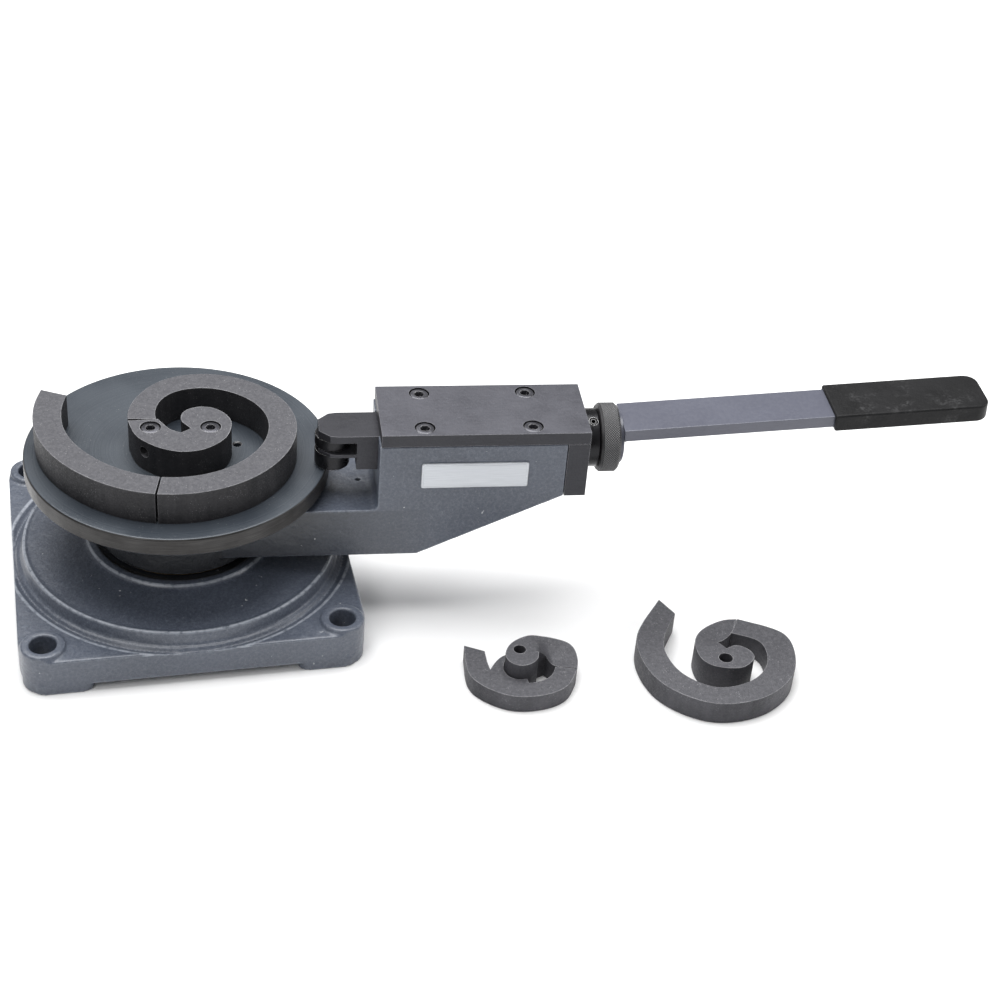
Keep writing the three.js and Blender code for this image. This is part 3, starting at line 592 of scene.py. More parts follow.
def knurl_steel():
    """Diamond knurl: dark grooves, rubbed tips."""
    m = Recipe("knurled_steel", 0.45, 0.5)
    clouds = m.noise(60, 3)
    ground = m.mixed(clouds, (0.050, 0.050, 0.052), (0.080, 0.079, 0.083))
    offset = m.node("ShaderNodeVectorMath", operation="SUBTRACT")
    m.link(m.stretched((0, 1, 1), -ARM_TURN), offset.inputs[0])
    offset.inputs[1].default_value = (0, AXIS_Y * MM, AXIS_Z * MM)
    away = m.length(offset.outputs[0])
    tip = m.ranged(away, (KNURL_R - KNURL_DEPTH) * MM, KNURL_R * MM)
    grooved = m.mixed(tip, (0.006, 0.006, 0.007), (0.22, 0.22, 0.225))
    on_face = m.math("LESS_THAN", away, (KNURL_R - KNURL_DEPTH - 0.1) * MM)
    m.colour(m.mixed(on_face, grooved, ground))
    m.roughness(clouds, 0.38, 0.55)
    m.bump(m.noise(1500, 2), 0.00002)
    return m.material


def oiled_metal(name, dark, pale, shine, clouds=90, grain=700, depth=0.00002):
    """Bare metal with an oil film."""
    m = Recipe(name, shine[0], 1.0)
    patches = m.noise(clouds, 4)
    m.colour(m.mixed(patches, dark, pale))
    m.roughness(patches, *shine)
    m.bump(m.noise(grain, 3), depth)
    return m.material


def lever_paint():
    """Smooth violet-grey enamel on the flat lever."""
    m = Recipe("lever_paint", 0.36, 0.0, coat=0.3)
    clouds = m.noise(16, 3)
    peel = m.noise(380, 2)
    ground = m.mixed(clouds, (0.084, 0.088, 0.117), (0.100, 0.105, 0.137))
    m.colour(m.mixed(m.times(m.edges(0.0006), 0.5), ground, (0.34, 0.35, 0.40)))
    m.roughness(peel, 0.30, 0.42)
    m.bump(peel, 0.00003)
    return m.material


def grip_vinyl():
    """Dipped black vinyl, dull, with chalky scuffs."""
    m = Recipe("grip_vinyl", 0.55, 0.0)
    clouds = m.noise(22, 5, 0.6)
    stipple = m.noise(1300, 3)
    m.shader.inputs["Specular IOR Level"].default_value = 0.25
    ground = m.mixed(clouds, (0.004, 0.004, 0.0045), (0.009, 0.009, 0.010))
    scuffs = m.times(m.noise(45, 6, 0.7, low=0.54, high=0.74), m.noise(500, 3, low=0.4, high=0.7))
    scuffed = m.mixed(m.times(scuffs, 0.5), ground, (0.16, 0.16, 0.165))
    m.colour(m.mixed(m.times(m.edges(0.0016), 0.5), scuffed, (0.10, 0.10, 0.105)))
    m.roughness(clouds, 0.45, 0.62)
    m.bump(m.noise(60, 3), 0.0003)
    m.bump(stipple, 0.00005)
    return m.material


def badge_silver():
    """Brushed silver of the blank badge."""
    m = Recipe("badge_plate", 0.34, 0.6)
    lines = m.noise(60, 4, 0.6, place=m.stretched((1, 30, 30), -ARM_TURN))
    brushed = m.mixed(lines, (0.46, 0.48, 0.51), (0.54, 0.56, 0.59))
    m.colour(m.mixed(m.edges(0.0006), brushed, (0.75, 0.76, 0.78)))
    m.roughness(lines, 0.30, 0.40)
    m.bump(lines, 0.00001)
    return m.material


def weld():
    """A heat-tinted weld bead."""
    m = Recipe("weld_bead", 0.4, 0.7)
    ripples = m.noise(300, 2)
    m.colour(m.mixed(ripples, (0.06, 0.055, 0.06), (0.16, 0.15, 0.16)))
    m.bump(m.noise(420, 3), 0.0001)
    return m.material


def pale_floor():
    m = Recipe("pale_floor", 0.9, 0.0)
    m.colour(m.mixed(m.noise(3, 2), (0.93, 0.93, 0.93), (0.95, 0.95, 0.95)))
    m.shader.inputs["Specular IOR Level"].default_value = 0.0
    return m.material


PAINT = hammertone()
DISC_FACE = disc_face()
DISC_RIM = disc_rim()
FORM_FACE = form_top()
FORM_SIDE = form_side()
SPARE_SIDE = form_side("spare_side", 3.2)
OXIDE = oxide_ground()
OXIDE_RAM = oxide_ground("black_oxide_ram", 0.42)
# a darker copy of the ground oxide: the end plate's finish, and painted shade on the cover's upright sides
OXIDE_PLATE = oxide_ground("black_oxide_plate", 0.38)
# the edge value sets how bright the painted highlight on the edges is
OXIDE_GRUB = oxide_dark("black_oxide_grub", 0.2)
OXIDE_SCREW = oxide_dark("black_oxide_screw", 0.6, 5.0)
OXIDE_TURNED = oxide_dark()
KNURL = knurl_steel()
STEEL = oiled_metal("bright_steel", (0.36, 0.36, 0.37), (0.60, 0.60, 0.61), (0.22, 0.42))
BRONZE = oiled_metal("bronze", (0.09, 0.065, 0.035), (0.20, 0.15, 0.08), (0.28, 0.5), 70, 500, 0.00003)
LEVER = lever_paint()
VINYL = grip_vinyl()
BADGE = badge_silver()
WELD = weld()


# ---------- base ----------
PAD_Z = 28.6
FOOT_H = 6.6
FOOT_AT, FOOT_X, FOOT_Y, FOOT_CORNER_R = (91, 95), (-21, 21), (-25, 25), 8
PLATFORM_R, PLATFORM_Z = 112, 38
COVE_R, COVE_Z = 119, 25.6
PAD_ARC_R = 124
HUB_R, HUB_Z = 67, 44
HUB_CORE_R, SPINDLE_BORE_R = 45, 22.4
BOLT_R, BOSS_R, BOSS_Z = 9, 15.4, 31.9
BOLT_AT = (103.3, 103.3)
CORNER_R = 22
WALL = 12
RIB_Y, RIB_TOP = (-4, 4), 29
BELOW, OVER_PADS, ABOVE = -1, 40, 60  # cutters reach from under the feet to over the pads or the hub


def at_corners(place, made):
    """One body of a kind at each corner of the base."""
    x, y = place
    turns = ((-1, -1), (1, -1), (1, 1), (-1, 1))
    return [moved(made(), Matrix.Translation((sx * x, sy * y, 0))) for sx, sy in turns]


def round_platform():
    """The raised platform with its rim, and the hub in its middle."""
    r, z = PLATFORM_R, PLATFORM_Z
    foot = [(0, FOOT_H + 1), (COVE_R, FOOT_H + 1), (COVE_R, COVE_Z), (r + 2.6, COVE_Z + 3.4)]
    rim = [(r + 1.0, z - 1.4), (r + 0.6, z + 0.5), (r - 1.4, z + 0.5), (r - 2.6, z - 0.5)]
    hub = [(HUB_R + 2, HUB_Z - 2.6), (HUB_R, HUB_Z), (HUB_R - 5.5, HUB_Z)]
    hollow = [(HUB_R - 6.5, HUB_Z - 1.5), (0, HUB_Z - 1.5)]
    return lathe(foot + rim + hub + hollow)


def pad_valley():
    """The sloping groove between the platform and the corner pads."""
    foot, top = (COVE_R, COVE_Z), PAD_Z + 2
    return lathe([foot, (PAD_ARC_R, PAD_Z), (PAD_ARC_R, top), (COVE_R - 2.8, top), foot])


def hollow_under(inner):
    """The space under the base: square below the pads, deeper and round below the platform."""
    square = (-inner, inner)
    roof_r = PLATFORM_R - 8
    shallow = prism(rounded_rectangle(square, square, CORNER_R / 2), BELOW, PAD_Z - 10)
    deep = lathe([(0, BELOW), (roof_r, BELOW), (roof_r, PLATFORM_Z - 10), (0, PLATFORM_Z - 8)])
    return shallow, deep


def crossed_ribs(inner):
    ribs = []
    for angle in (45, 135):
        rib = block((-inner - 1, inner + 1), RIB_Y, (FOOT_H, RIB_TOP))
        ribs.append(moved(rib, Matrix.Rotation(math.radians(angle), 4, "Z")))
    return ribs


def base_casting():
    low, high = span("base_casting")
    side = (low.x, high.x)
    inner = high.x - WALL
    foot_outline = rounded_rectangle(FOOT_X, FOOT_Y, FOOT_CORNER_R)
    casting = prism(rounded_rectangle(side, side, CORNER_R), FOOT_H, PAD_Z)
    joined(casting, round_platform())
    cut(casting, pad_valley(), *hollow_under(inner))
    joined(
        casting,
        post(HUB_CORE_R, 0, HUB_Z - 2),
        *crossed_ribs(inner),
        *at_corners(FOOT_AT, lambda: prism(foot_outline, 0, FOOT_H + 1)),
        *at_corners(BOLT_AT, lambda: post(BOSS_R, 0, BOSS_Z)),
    )
    bolt_holes = at_corners(BOLT_AT, lambda: post(BOLT_R + 0.3, BELOW, OVER_PADS))
    cut(casting, post(SPINDLE_BORE_R, BELOW, ABOVE), *bolt_holes)
    as_cast(casting, 1.0, 3)
    look = ("hammertone_paint", PAINT)
    return delivered(casting, "base_body", "base", *look, "base_casting", smooth=CAST_SMOOTH)


# ---------- disc and forms ----------
FREE_HOLE = Vector((42.1, -0.3, 0))
FREE_HOLE_R, FREE_HOLE_DEPTH = 2.6, 8


def form_disc():
    radius = DISC_HIGH.x
    low, top = DISC_LOW.z, DISC_TOP
    under = [(0, low), (radius - 5, low), (radius - 1.8, low + 1.6), (radius, low + 3.4)]
    over = [(radius, top - 1.1), (radius - 1.1, top), (0, top)]
    disc = lathe(softened(under + over, 0.5, 2), 320)
    floor, mouth_r = top - FREE_HOLE_DEPTH, FREE_HOLE_R + 1
    hole = [(0, floor), (FREE_HOLE_R, floor), (FREE_HOLE_R, top - 0.9), (mouth_r, top + 0.1), (0, top + 0.1)]
    cut(disc, moved(lathe(hole, 48), Matrix.Translation(FREE_HOLE)))
    for material in (DISC_FACE, DISC_RIM, STEEL):
        disc.data.materials.append(material)
    for face in disc.data.polygons:
        away = face.center.xy.length
        at_hole = (face.center - FREE_HOLE).xy.length < mouth_r + 0.1
        if away > radius - 0.9:
            face.material_index = 1
        if at_hole and face.normal.z < 0.99 and face.center.z > top - 1.5:
            face.material_index = 2
    return delivered(disc, "turned_disc", "base", "disc_enamel", DISC_FACE, "form_disc")


def cad_outline(node, top):
    """The longest outline of a CAD node's flat top or bottom, in millimetres."""
    bm = bmesh.new()
    bm.from_mesh(frame["nodes"][node].data)
    bmesh.ops.remove_doubles(bm, verts=bm.verts, dist=1e-6)
    heights = [v.co.z for v in bm.verts]
    level = max(heights) if top else min(heights)
    flat = [f for f in bm.faces if all(abs(v.co.z - level) < 2e-5 for v in f.verts)]
    known = set(flat)
    follow = {}
    for face in flat:
        for loop in face.loops:
            if not any(f in known for f in loop.edge.link_faces if f is not face):
                follow[loop.vert] = loop.link_loop_next.vert
    longest = []
    while follow:
        vert = next(iter(follow))
        chain = []
        while vert in follow:
            chain.append((vert.co.x / MM, vert.co.y / MM))
            vert = follow.pop(vert)
        if length_of(chain) > length_of(longest):
            longest = chain
    bm.free()
    return longest


def length_of(points):
    return sum(math.dist(a, b) for a, b in zip(points, points[1:] + points[:1])) if points else 0


def turn_at(before, here, after):
    a = Vector(here) - Vector(before)
    b = Vector(after) - Vector(here)
    return math.degrees(a.angle(b)) if a.length and b.length else 0


def fine_outline(points, corner=36, step=1.4):
    """The same outline with smooth curves between its corners."""
    n = len(points)
    corners = [i for i in range(n) if turn_at(points[i - 1], points[i], points[(i + 1) % n]) > corner]
    start = corners[0]
    points = points[start:] + points[:start]
    stops = [i - start for i in corners] + [n]
    points.append(points[0])
    result = []
    for a, b in zip(stops, stops[1:]):
        run = [Vector(p) for p in points[a : b + 1]]
        result += curve_through(run, step)[:-1]
    return result


def curve_through(run, step):
    """Points of a Catmull-Rom curve through all points of a run."""
    run = [run[0] * 2 - run[1], *run, run[-1] * 2 - run[-2]]
    result = []
    for p0, p1, p2, p3 in zip(run, run[1:], run[2:], run[3:]):
        count = max(1, round((p2 - p1).length / step))
        bend = 2 * p0 - 5 * p1 + 4 * p2 - p3
        twist = 3 * p1 - p0 - 3 * p2 + p3
        for i in range(count):
            t = i / count
            result.append(tuple(0.5 * (2 * p1 + (p2 - p0) * t + bend * t * t + twist * t**3)))
    return result + [tuple(run[-2])]


def form_finish(obj, side=FORM_SIDE):
    """Ground top, cast sides."""
    obj.data.materials.append(side)
    obj.data.materials.append(FORM_FACE)
    for face in obj.data.polygons:
        if face.normal.z > 0.8:
            face.material_index = 1
    return obj


def stepped_hole(shank_r, head_r, depth, reach, above, segments):
    """What has to be cut for a socket screw that points down, its mouth at the origin."""
    shank = [(0, -reach), (shank_r, -reach), (shank_r, -depth)]
    return lathe([*shank, (head_r, -depth), (head_r, above), (0, above)], segments)


UPRIGHT_SHANK_HOLE_R, PLATE_SHANK_HOLE_R = 4.3, 3.3


def counterbore(node, turned=BASE_FRAME):
    """The hole for an upright socket screw, from its CAD node."""
    low, high = span(node, turned)
    radius = (high.x - low.x) / 2 + 0.75
    depth = radius * 1.24
    hole = stepped_hole(UPRIGHT_SHANK_HOLE_R, radius, depth, depth + 6, 12, 72)
    return moved(hole, Matrix.Translation(((low.x + high.x) / 2, (low.y + high.y) / 2, high.z)))


CLAMP_AXIS = Vector(JOINTS["clamp_feed"]["axis"])
CLAMP_R, CLAMP_LENGTH = 3.95, 20


def form_center():
    low, high = span("form_center")
    body = prism(fine_outline(cad_outline("form_center", True), step=1.0), low.z, high.z)
    at = middle("bar_clamp_screw")
    clamp_hole = bar_along(CLAMP_R + 0.25, at - CLAMP_AXIS * 30, at + CLAMP_AXIS * 14)
    cut(body, counterbore("form_screw_1"), counterbore("form_screw_2"), clamp_hole)
    edged(body, 0.55, 2, 40)
    return delivered(form_finish(body), "scroll_center", "base", "form_iron", FORM_SIDE, "form_center")


def scroll_band(node, name, body="base", side=FORM_SIDE, edge=0.6, from_top=True):
    low, high = span(node)
    outline = fine_outline(cad_outline(node, from_top))
    band = edged(prism(outline, low.z, high.z), edge, 2, 40)
    return delivered(form_finish(band, side), name, body, "form_iron", FORM_SIDE, node)


def spare_ring(size):
    name = f"spare_{size}"
    return scroll_band(f"{name}_ring", f"{name}_band", name, SPARE_SIDE, 0.7, from_top=False)


# each spare centre climbs from its split, counter-clockwise around its hole
CLIMBS = {
    "small": {"place": (232, -152), "split": -19, "hole": (-10.2, 3.6), "hole_r": 4.4},
    "large": {"place": (368, -165), "split": 56, "hole": (-1.2, -8.8), "hole_r": 5},
}
CLIMB_START, CLIMB_TURN = 8, 72  # degrees after the split, and over which the top rises
CREST_R, CREST_FADE = 11, 14  # flat crest about the hole, and the width of the slope around it


def eased(t):
    t = min(1.0, max(0.0, t))
    return t * t * (3 - 2 * t)


def climbing_lid(hole, split, foot, crest):
    """What has to be cut from above a spare centre: its underside rises around the hole."""
    angles = [0.0, 0.1] + [4.0 * i for i in range(1, 90)] + [359.9]  # nearly upright at the split
    distances = [3 + 2.0 * i for i in range(26)]
    bm = bmesh.new()
    rings = []
    for distance in distances:
        ring = []
        for angle in angles:
            risen = eased((angle - CLIMB_START) / CLIMB_TURN)
            lowered = (1 - risen) * eased((distance - CREST_R) / CREST_FADE)
            a = math.radians(split + angle)
            x, y = hole[0] + distance * math.cos(a), hole[1] + distance * math.sin(a)
            ring.append(bm.verts.new((x, y, crest - (crest - foot) * lowered)))
        rings.append(ring)
    rings.append([bm.verts.new((v.co.x, v.co.y, crest + 40)) for v in rings[-1]])
    bridge(bm, rings)
    bm.faces.new(rings[0])
    bm.faces.new(rings[-1])
    return shown(bm)


def spare_center(size):
    name = f"spare_{size}"
    node = f"{name}_center"
    climb = CLIMBS[size]
    x, y = climb["place"]
    low, high = span(node)
    ring_top = span(f"{name}_ring")[1].z
    outline = [(px - x, py - y) for px, py in fine_outline(cad_outline(node, False), step=1.0)]
    body = prism(outline, low.z, high.z + 4)
    lid = climbing_lid(climb["hole"], climb["split"], ring_top, high.z)
    cut(body, lid, post(climb["hole_r"], BELOW, ABOVE, *climb["hole"]))
    edged(body, 0.5, 2, 40)
    moved(body, Matrix.Translation((x, y, 0)))
    return delivered(form_finish(body, SPARE_SIDE), f"{name}_hook", name, "form_iron", FORM_SIDE, node)


# ---------- screws ----------
M8_HEAD_R, M8_HEAD_H, M8_SHANK_R, M8_HEX_R, M8_HEX_DEPTH = 6.5, 8, 4, 3.6, 4


def socket_screw(head_r, length):
    """A socket cap screw that points down, the top of its head at the origin, shaped like an M8."""
    share = head_r / M8_HEAD_R
    head_h, shank_r = M8_HEAD_H * share, M8_SHANK_R * share
    hex_r, hex_depth = M8_HEX_R * share, M8_HEX_DEPTH * share
    shank = [(0, -length), (shank_r - 0.6, -length), (shank_r, -length + 0.6), (shank_r, -head_h)]
    head = [(head_r - 0.3, -head_h), (head_r, -head_h + 0.3), (head_r, -0.9), (head_r - 0.25, -0.35)]
    screw = lathe(shank + head + [(head_r - 0.9, 0), (0, 0)], 72)
    socket = lathe([(0, -hex_depth - 1.2), (hex_r, -hex_depth), (hex_r, 1), (0, 1)], 6)
    mouth = lathe([(0, -0.5), (hex_r - 0.5, -0.5), (hex_r + 0.1, 0.05), (0, 0.05)], 48)
    return cut(screw, socket, mouth)


def screw_at(node, name, body, turned=BASE_FRAME, aim=BASE_FRAME):
    """A socket screw in a CAD screw's place, upright or with its head along +X."""
    low, high = span(node, turned)
    if aim is BASE_FRAME:
        head_r, length = (high.x - low.x) / 2, high.z - low.z
        top = Vector(((low.x + high.x) / 2, (low.y + high.y) / 2, high.z))
    else:
        head_r, length = (high.z - low.z) / 2, high.x - low.x
        top = Vector((high.x, (low.y + high.y) / 2, (low.z + high.z) / 2))
    screw = moved(socket_screw(head_r, length), Matrix.Translation(top) @ aim)
    return delivered(screw, name, body, "black_oxide", OXIDE_SCREW, node, turned)


# ---------- arm ----------
BEAM_Z, BEAM_TOP = 55, 94.5
HOUSING_X, HOUSING_END = 138.5, 270.4
SLOPE_X, SLOPE_END_Z = 167.3, 104.3
ARM_BOSS_R, ARM_BOSS_LOW, ARM_BOSS_TOP = 59, 46.4, 96
BUSH_R = 37
RAM_FLOOR = 118.85
OIL_HOLE_R, OIL_HOLE_AT = 1.7, (127.3, -14)


def far_web(far):
    """On its far side the beam widens in a straight line that runs tangent into the boss."""
    at = math.atan2(far, HOUSING_X) + math.acos(ARM_BOSS_R / math.hypot(HOUSING_X, far))
    tangent = (ARM_BOSS_R * math.cos(at), ARM_BOSS_R * math.sin(at))
    return prism([(0, 0), (HOUSING_X, far - 0.3), (HOUSING_X, far), tangent], BEAM_Z, BEAM_TOP)


def arm_boss():
    low, high = ARM_BOSS_LOW, ARM_BOSS_TOP
    return lathe(softened([(0, low), (ARM_BOSS_R, low), (ARM_BOSS_R, high), (0, high)], 1.5))


def ram_channel(top):
    """The channel that the ram slides in."""
    low, high = span("ram", ARM_FRAME)
    half = (high.y - low.y) / 2 + 0.15
    return block((HOUSING_X - 6, HOUSING_END + 1), (AXIS_Y - half, AXIS_Y + half), (RAM_FLOOR, top + 2))


def arm_casting():
    low, high = span("slide_cover", ARM_FRAME)
    near, far = low.y, high.y
    top = low.z - 0.3
    profile = [
        (0, BEAM_Z),
        (SLOPE_X, BEAM_Z),
        (HOUSING_END, SLOPE_END_Z),
        (HOUSING_END, top),
        (HOUSING_X, top),
        *arc(HOUSING_X - 5, BEAM_TOP + 5, 5, 0, -90, 6),
        (0, BEAM_TOP),
    ]
    casting = moved(prism(profile, -far, -near), STAND_UP)
    oil_hole = post(OIL_HOLE_R, BEAM_TOP - 8, BEAM_TOP + 2, *OIL_HOLE_AT, 24)
    joined(casting, arm_boss(), far_web(far))
    cut(casting, post(BUSH_R + 0.1, 0, 200), ram_channel(top), oil_hole)
    as_cast(casting, 0.9, 3)
    look = ("hammertone_paint", PAINT)
    return delivered(casting, "arm_body", "arm", *look, "arm_casting", ARM_FRAME, CAST_SMOOTH)


SHOULDER_R, BUSH_BORE = 15, 11.62  # the feed bush's shoulder in the end plate, and its bore
GRUB_R, GRUB_LENGTH, GRUB_FOOT = 2.95, 9, 11.45  # the bush's grub screw and where it starts
COVER_SCREWS = [f"cover_screw_{i}" for i in (1, 2, 3, 4)]
PLATE_SCREWS = [f"end_plate_screw_{i}" for i in (1, 2, 3, 4)]


def painted_shade_on_sides(obj):
    """Ground top; the upright faces take the darker oxide copy as painted shade."""
    obj.data.materials.append(OXIDE)
    obj.data.materials.append(OXIDE_PLATE)
    for face in obj.data.polygons:
        if face.normal.z < 0.5:
            face.material_index = 1


def slide_cover():
    cover = cad_block("slide_cover", ARM_FRAME)
    cut(cover, *[counterbore(node, ARM_FRAME) for node in COVER_SCREWS])
    edged(cover, 0.5)
    painted_shade_on_sides(cover)
    return delivered(cover, "ground_cover", "arm", "black_oxide", OXIDE, "slide_cover", ARM_FRAME)


def plate_counterbore(node):
    """The hole for a socket screw whose head looks along the arm, from its CAD node."""
    low, high = span(node, ARM_FRAME)
    radius = (high.z - low.z) / 2
    hole = stepped_hole(PLATE_SHANK_HOLE_R, radius + 0.6, radius * 1.2 + 0.5, 22, 9, 64)
    at = Vector((high.x, (low.y + high.y) / 2, (low.z + high.z) / 2))
    return moved(hole, Matrix.Translation(at) @ ONTO_X)


def end_plate():
    low, high = span("end_plate", ARM_FRAME)
    start, end, bush_r = low.x - 2, high.x + 2, SHOULDER_R + 0.1
    bush_hole = along_feed([(0, start), (bush_r, start), (bush_r, end), (0, end)])
    plate = cad_block("end_plate", ARM_FRAME)
    cut(plate, bush_hole, *[plate_counterbore(node) for node in PLATE_SCREWS])
    edged(plate, 0.5)
    return delivered(plate, "ground_end_plate", "arm", "black_oxide", OXIDE_PLATE, "end_plate", ARM_FRAME)


def grub_line():
    """Where the bush's grub screw meets the feed axis, and its direction outwards."""
    tip = middle("bush_grub_screw", ARM_FRAME)
    out = Vector((0, tip.y - AXIS_Y, tip.z - AXIS_Z)).normalized()
    return Vector((tip.x, AXIS_Y, AXIS_Z)), out


def feed_bush():
    low, high = span("feed_bush", ARM_FRAME)
    plate_end = span("end_plate", ARM_FRAME)[1].x
    collar, bore = (high.z - low.z) / 2, BUSH_BORE
    start, end = plate_end + 0.1, high.x
    shoulder = [(bore, low.x), (SHOULDER_R, low.x), (SHOULDER_R, start)]
    outside = [(collar - 0.6, start), (collar, start + 0.6), (collar, end - 1.2), (collar - 0.35, end - 0.5)]
    mouth = [(collar - 1.2, end), (bore + 0.5, end), (bore, end - 0.5), (bore, low.x)]
    bush = along_feed(shoulder + outside + mouth)
    axis, out = grub_line()
    cut(bush, bar_along(GRUB_R + 0.2, axis + out * 8, axis + out * 30))
    edged(bush, 0.25, 2, 50)
    return delivered(bush, "turned_bush", "arm", "black_oxide", OXIDE_TURNED, "feed_bush", ARM_FRAME)


def bush_grub_screw():
    axis, out = grub_line()
    r, end = GRUB_R, GRUB_LENGTH
    screw = lathe([(0, 0), (1.6, 0), (r, 2.2), (r, end - 0.8), (r - 0.75, end), (0, end)], 48)
    cut(screw, lathe([(0, 5), (1.75, 5.6), (1.75, end + 1), (0, end + 1)], 6))
    moved(screw, Matrix.Translation(axis + out * GRUB_FOOT) @ pointing(out))
    look = ("bright_steel", OXIDE_GRUB)
    return delivered(screw, "locking_grub_screw", "arm", *look, "bush_grub_screw", ARM_FRAME)


# the badge's steps from its back edge to its field: inset in mm, share of its thickness, corner radius
BADGE_LEVELS = ((0.0, 0.0, 1.6), (0.0, 0.75, 1.6), (0.35, 1.0, 1.5), (1.5, 1.0, 0.9), (2.3, 0.62, 0.6))


def badge_plate():
    """A blank silver plate with a raised rim and a shallow field."""
    low, high = span("badge_plate", ARM_FRAME)
    half_x, half_z, thick = (high.x - low.x) / 2, (high.z - low.z) / 2, high.y - low.y
    bm = bmesh.new()
    levels = []
    for inset, rise, radius in BADGE_LEVELS:
        x, z = half_x - inset, half_z - inset
        outline = rounded_rectangle((-x, x), (-z, z), radius, 6)
        levels.append([bm.verts.new((*point, rise * thick)) for point in outline])
    bm.faces.new(levels[0])
    bm.faces.new(levels[-1])
    bridge(bm, levels)
    at = Matrix.Translation(((low.x + high.x) / 2, high.y, (low.z + high.z) / 2))
    plate = moved(shown(bm), at @ STAND_UP)
    return delivered(plate, "blank_badge", "arm", "badge_plate", BADGE, "badge_plate", ARM_FRAME, 50)


# ---------- ram and rollers ----------
ROLLER = middle("upper_roller", ARM_FRAME)
PIN_R, PIN_HEAD_R, PIN_HEAD = 5, 8, 2
ROLLER_BORE = PIN_R + 0.15
SCREW_BORE_R, SCREW_BORE_X = 10.1, 152
NOSE_HALF, NOSE_LENGTH = 7.2, 13.6
PIN_HOLE_Z = (110, 145.4)
NOTCH_X = 123.8
EAR_UNDER = 141.1
LOWER_EAR = (129, 131.8)
ONTO_PIN = Matrix.Translation((ROLLER.x, AXIS_Y, 0))


def ram():
    low, high = span("ram", ARM_FRAME)
    half = (high.y - low.y) / 2
    cheek = (low.x + NOSE_LENGTH - 6, half - 1.1)
    nose = [(low.x, NOSE_HALF), cheek, (low.x + NOSE_LENGTH, half), (high.x, half)]
    outline = [(x, AXIS_Y - y) for x, y in nose] + [(x, AXIS_Y + y) for x, y in reversed(nose)]
    body = prism(outline, low.z, high.z)
    wide = (low.y - 5, high.y + 5)
    slot_x = (low.x - 5, NOTCH_X)
    cut(
        body,
        block(slot_x, wide, (LOWER_EAR[1], EAR_UNDER)),
        block(slot_x, wide, (low.z - 5, LOWER_EAR[0])),
        bar_along(SCREW_BORE_R, (SCREW_BORE_X, AXIS_Y, AXIS_Z), (high.x + 4, AXIS_Y, AXIS_Z)),
        post(PIN_R + 0.1, *PIN_HOLE_Z, ROLLER.x, AXIS_Y),
    )
    edged(body, 0.45)
    return delivered(body, "ram_body", "ram", "black_oxide", OXIDE_RAM, "ram", ARM_FRAME)


def roller(node, name, recess=0.0):
    """A free roller. A recess in its underside takes the pin's head."""
    low, high = span(node, ARM_FRAME)
    radius, bore, wide = (high.x - low.x) / 2, ROLLER_BORE, PIN_HEAD_R + 0.2
    face = [(bore, low.z)]
    if recess:
        face = [(bore, low.z + recess), (wide, low.z + recess), (wide, low.z)]
    lower = [(radius - 1.0, low.z), (radius - 0.25, low.z + 0.25), (radius, low.z + 1.0)]
    upper = [(radius, high.z - 1.0), (radius - 0.25, high.z - 0.25), (radius - 1.0, high.z)]
    profile = face + lower + upper + [(bore, high.z), face[0]]
    wheel = moved(lathe(profile, 120), ONTO_PIN)
    return delivered(wheel, name, node, "black_oxide", OXIDE_TURNED, node, ARM_FRAME)


def roller_pin():
    low, high = span("roller_pin", ARM_FRAME)
    neck = low.z + PIN_HEAD
    head = [(0, low.z), (PIN_HEAD_R, low.z), (PIN_HEAD_R, neck)]
    profile = softened([*head, (PIN_R, neck), (PIN_R, high.z), (0, high.z)], 0.4, 2)
    pin = moved(lathe(profile, 72), ONTO_PIN)
    return delivered(pin, "headed_roller_pin", "ram", "bright_steel", STEEL, "roller_pin", ARM_FRAME)


# ---------- feed ring, lever and grip ----------
KNURL_COUNT, KNURL_ROWS = 88, 44
KNURL_CHAMFER = 1.5
RING_BORE = 9.15


def knurl_relief(angle, r, x):
    """Two crossing sets of grooves in the ring's outer face."""
    if r < KNURL_R - 0.01:
        return 0.0
    around = angle / FULL * KNURL_COUNT
    along = (x - RING_LOW.x - KNURL_CHAMFER) / (FULL * KNURL_R / KNURL_COUNT)
    crest = 2 * min(abs(t - round(t)) for t in (around + along, around - along))
    return -KNURL_DEPTH * (1 - crest)


def knurled_ring():
    start, end, side_r = RING_LOW.x, RING_HIGH.x, KNURL_R - KNURL_CHAMFER
    first, last = start + KNURL_CHAMFER, end - KNURL_CHAMFER
    run = [(KNURL_R, first + (last - first) * i / KNURL_ROWS) for i in range(KNURL_ROWS + 1)]
    near = [(RING_BORE, start), (side_r, start), (KNURL_R - 0.45, first - 0.25)]
    far = [(KNURL_R - 0.45, last + 0.25), (side_r, end), (RING_BORE, end), (RING_BORE, start)]
    ring = along_feed(near + run + far, KNURL_COUNT * 6, knurl_relief)
    look = ("knurled_steel", KNURL)
    return delivered(ring, "diamond_knurled_ring", "feed", *look, "knurled_ring", ARM_FRAME, 28)


LEVER_RISE = math.radians(3.74)
LEVER_ROOT = Vector((313.2, AXIS_Y, 145.3))
LEVER_LENGTH, LEVER_WIDTH, LEVER_THICK = 261.2, 36, 9.2
GRIP_FROM, GRIP_LENGTH, GRIP_WIDTH, GRIP_THICK = 152.2, 115, 42, 13.4
GRIP_CORNER_R, GRIP_PLAY = 10, 0.25
ROOT_R, ROOT_BORE = 18.5, 9.2
ON_LEVER = Matrix.Translation(LEVER_ROOT) @ Matrix.Rotation(-LEVER_RISE, 4, "Y")


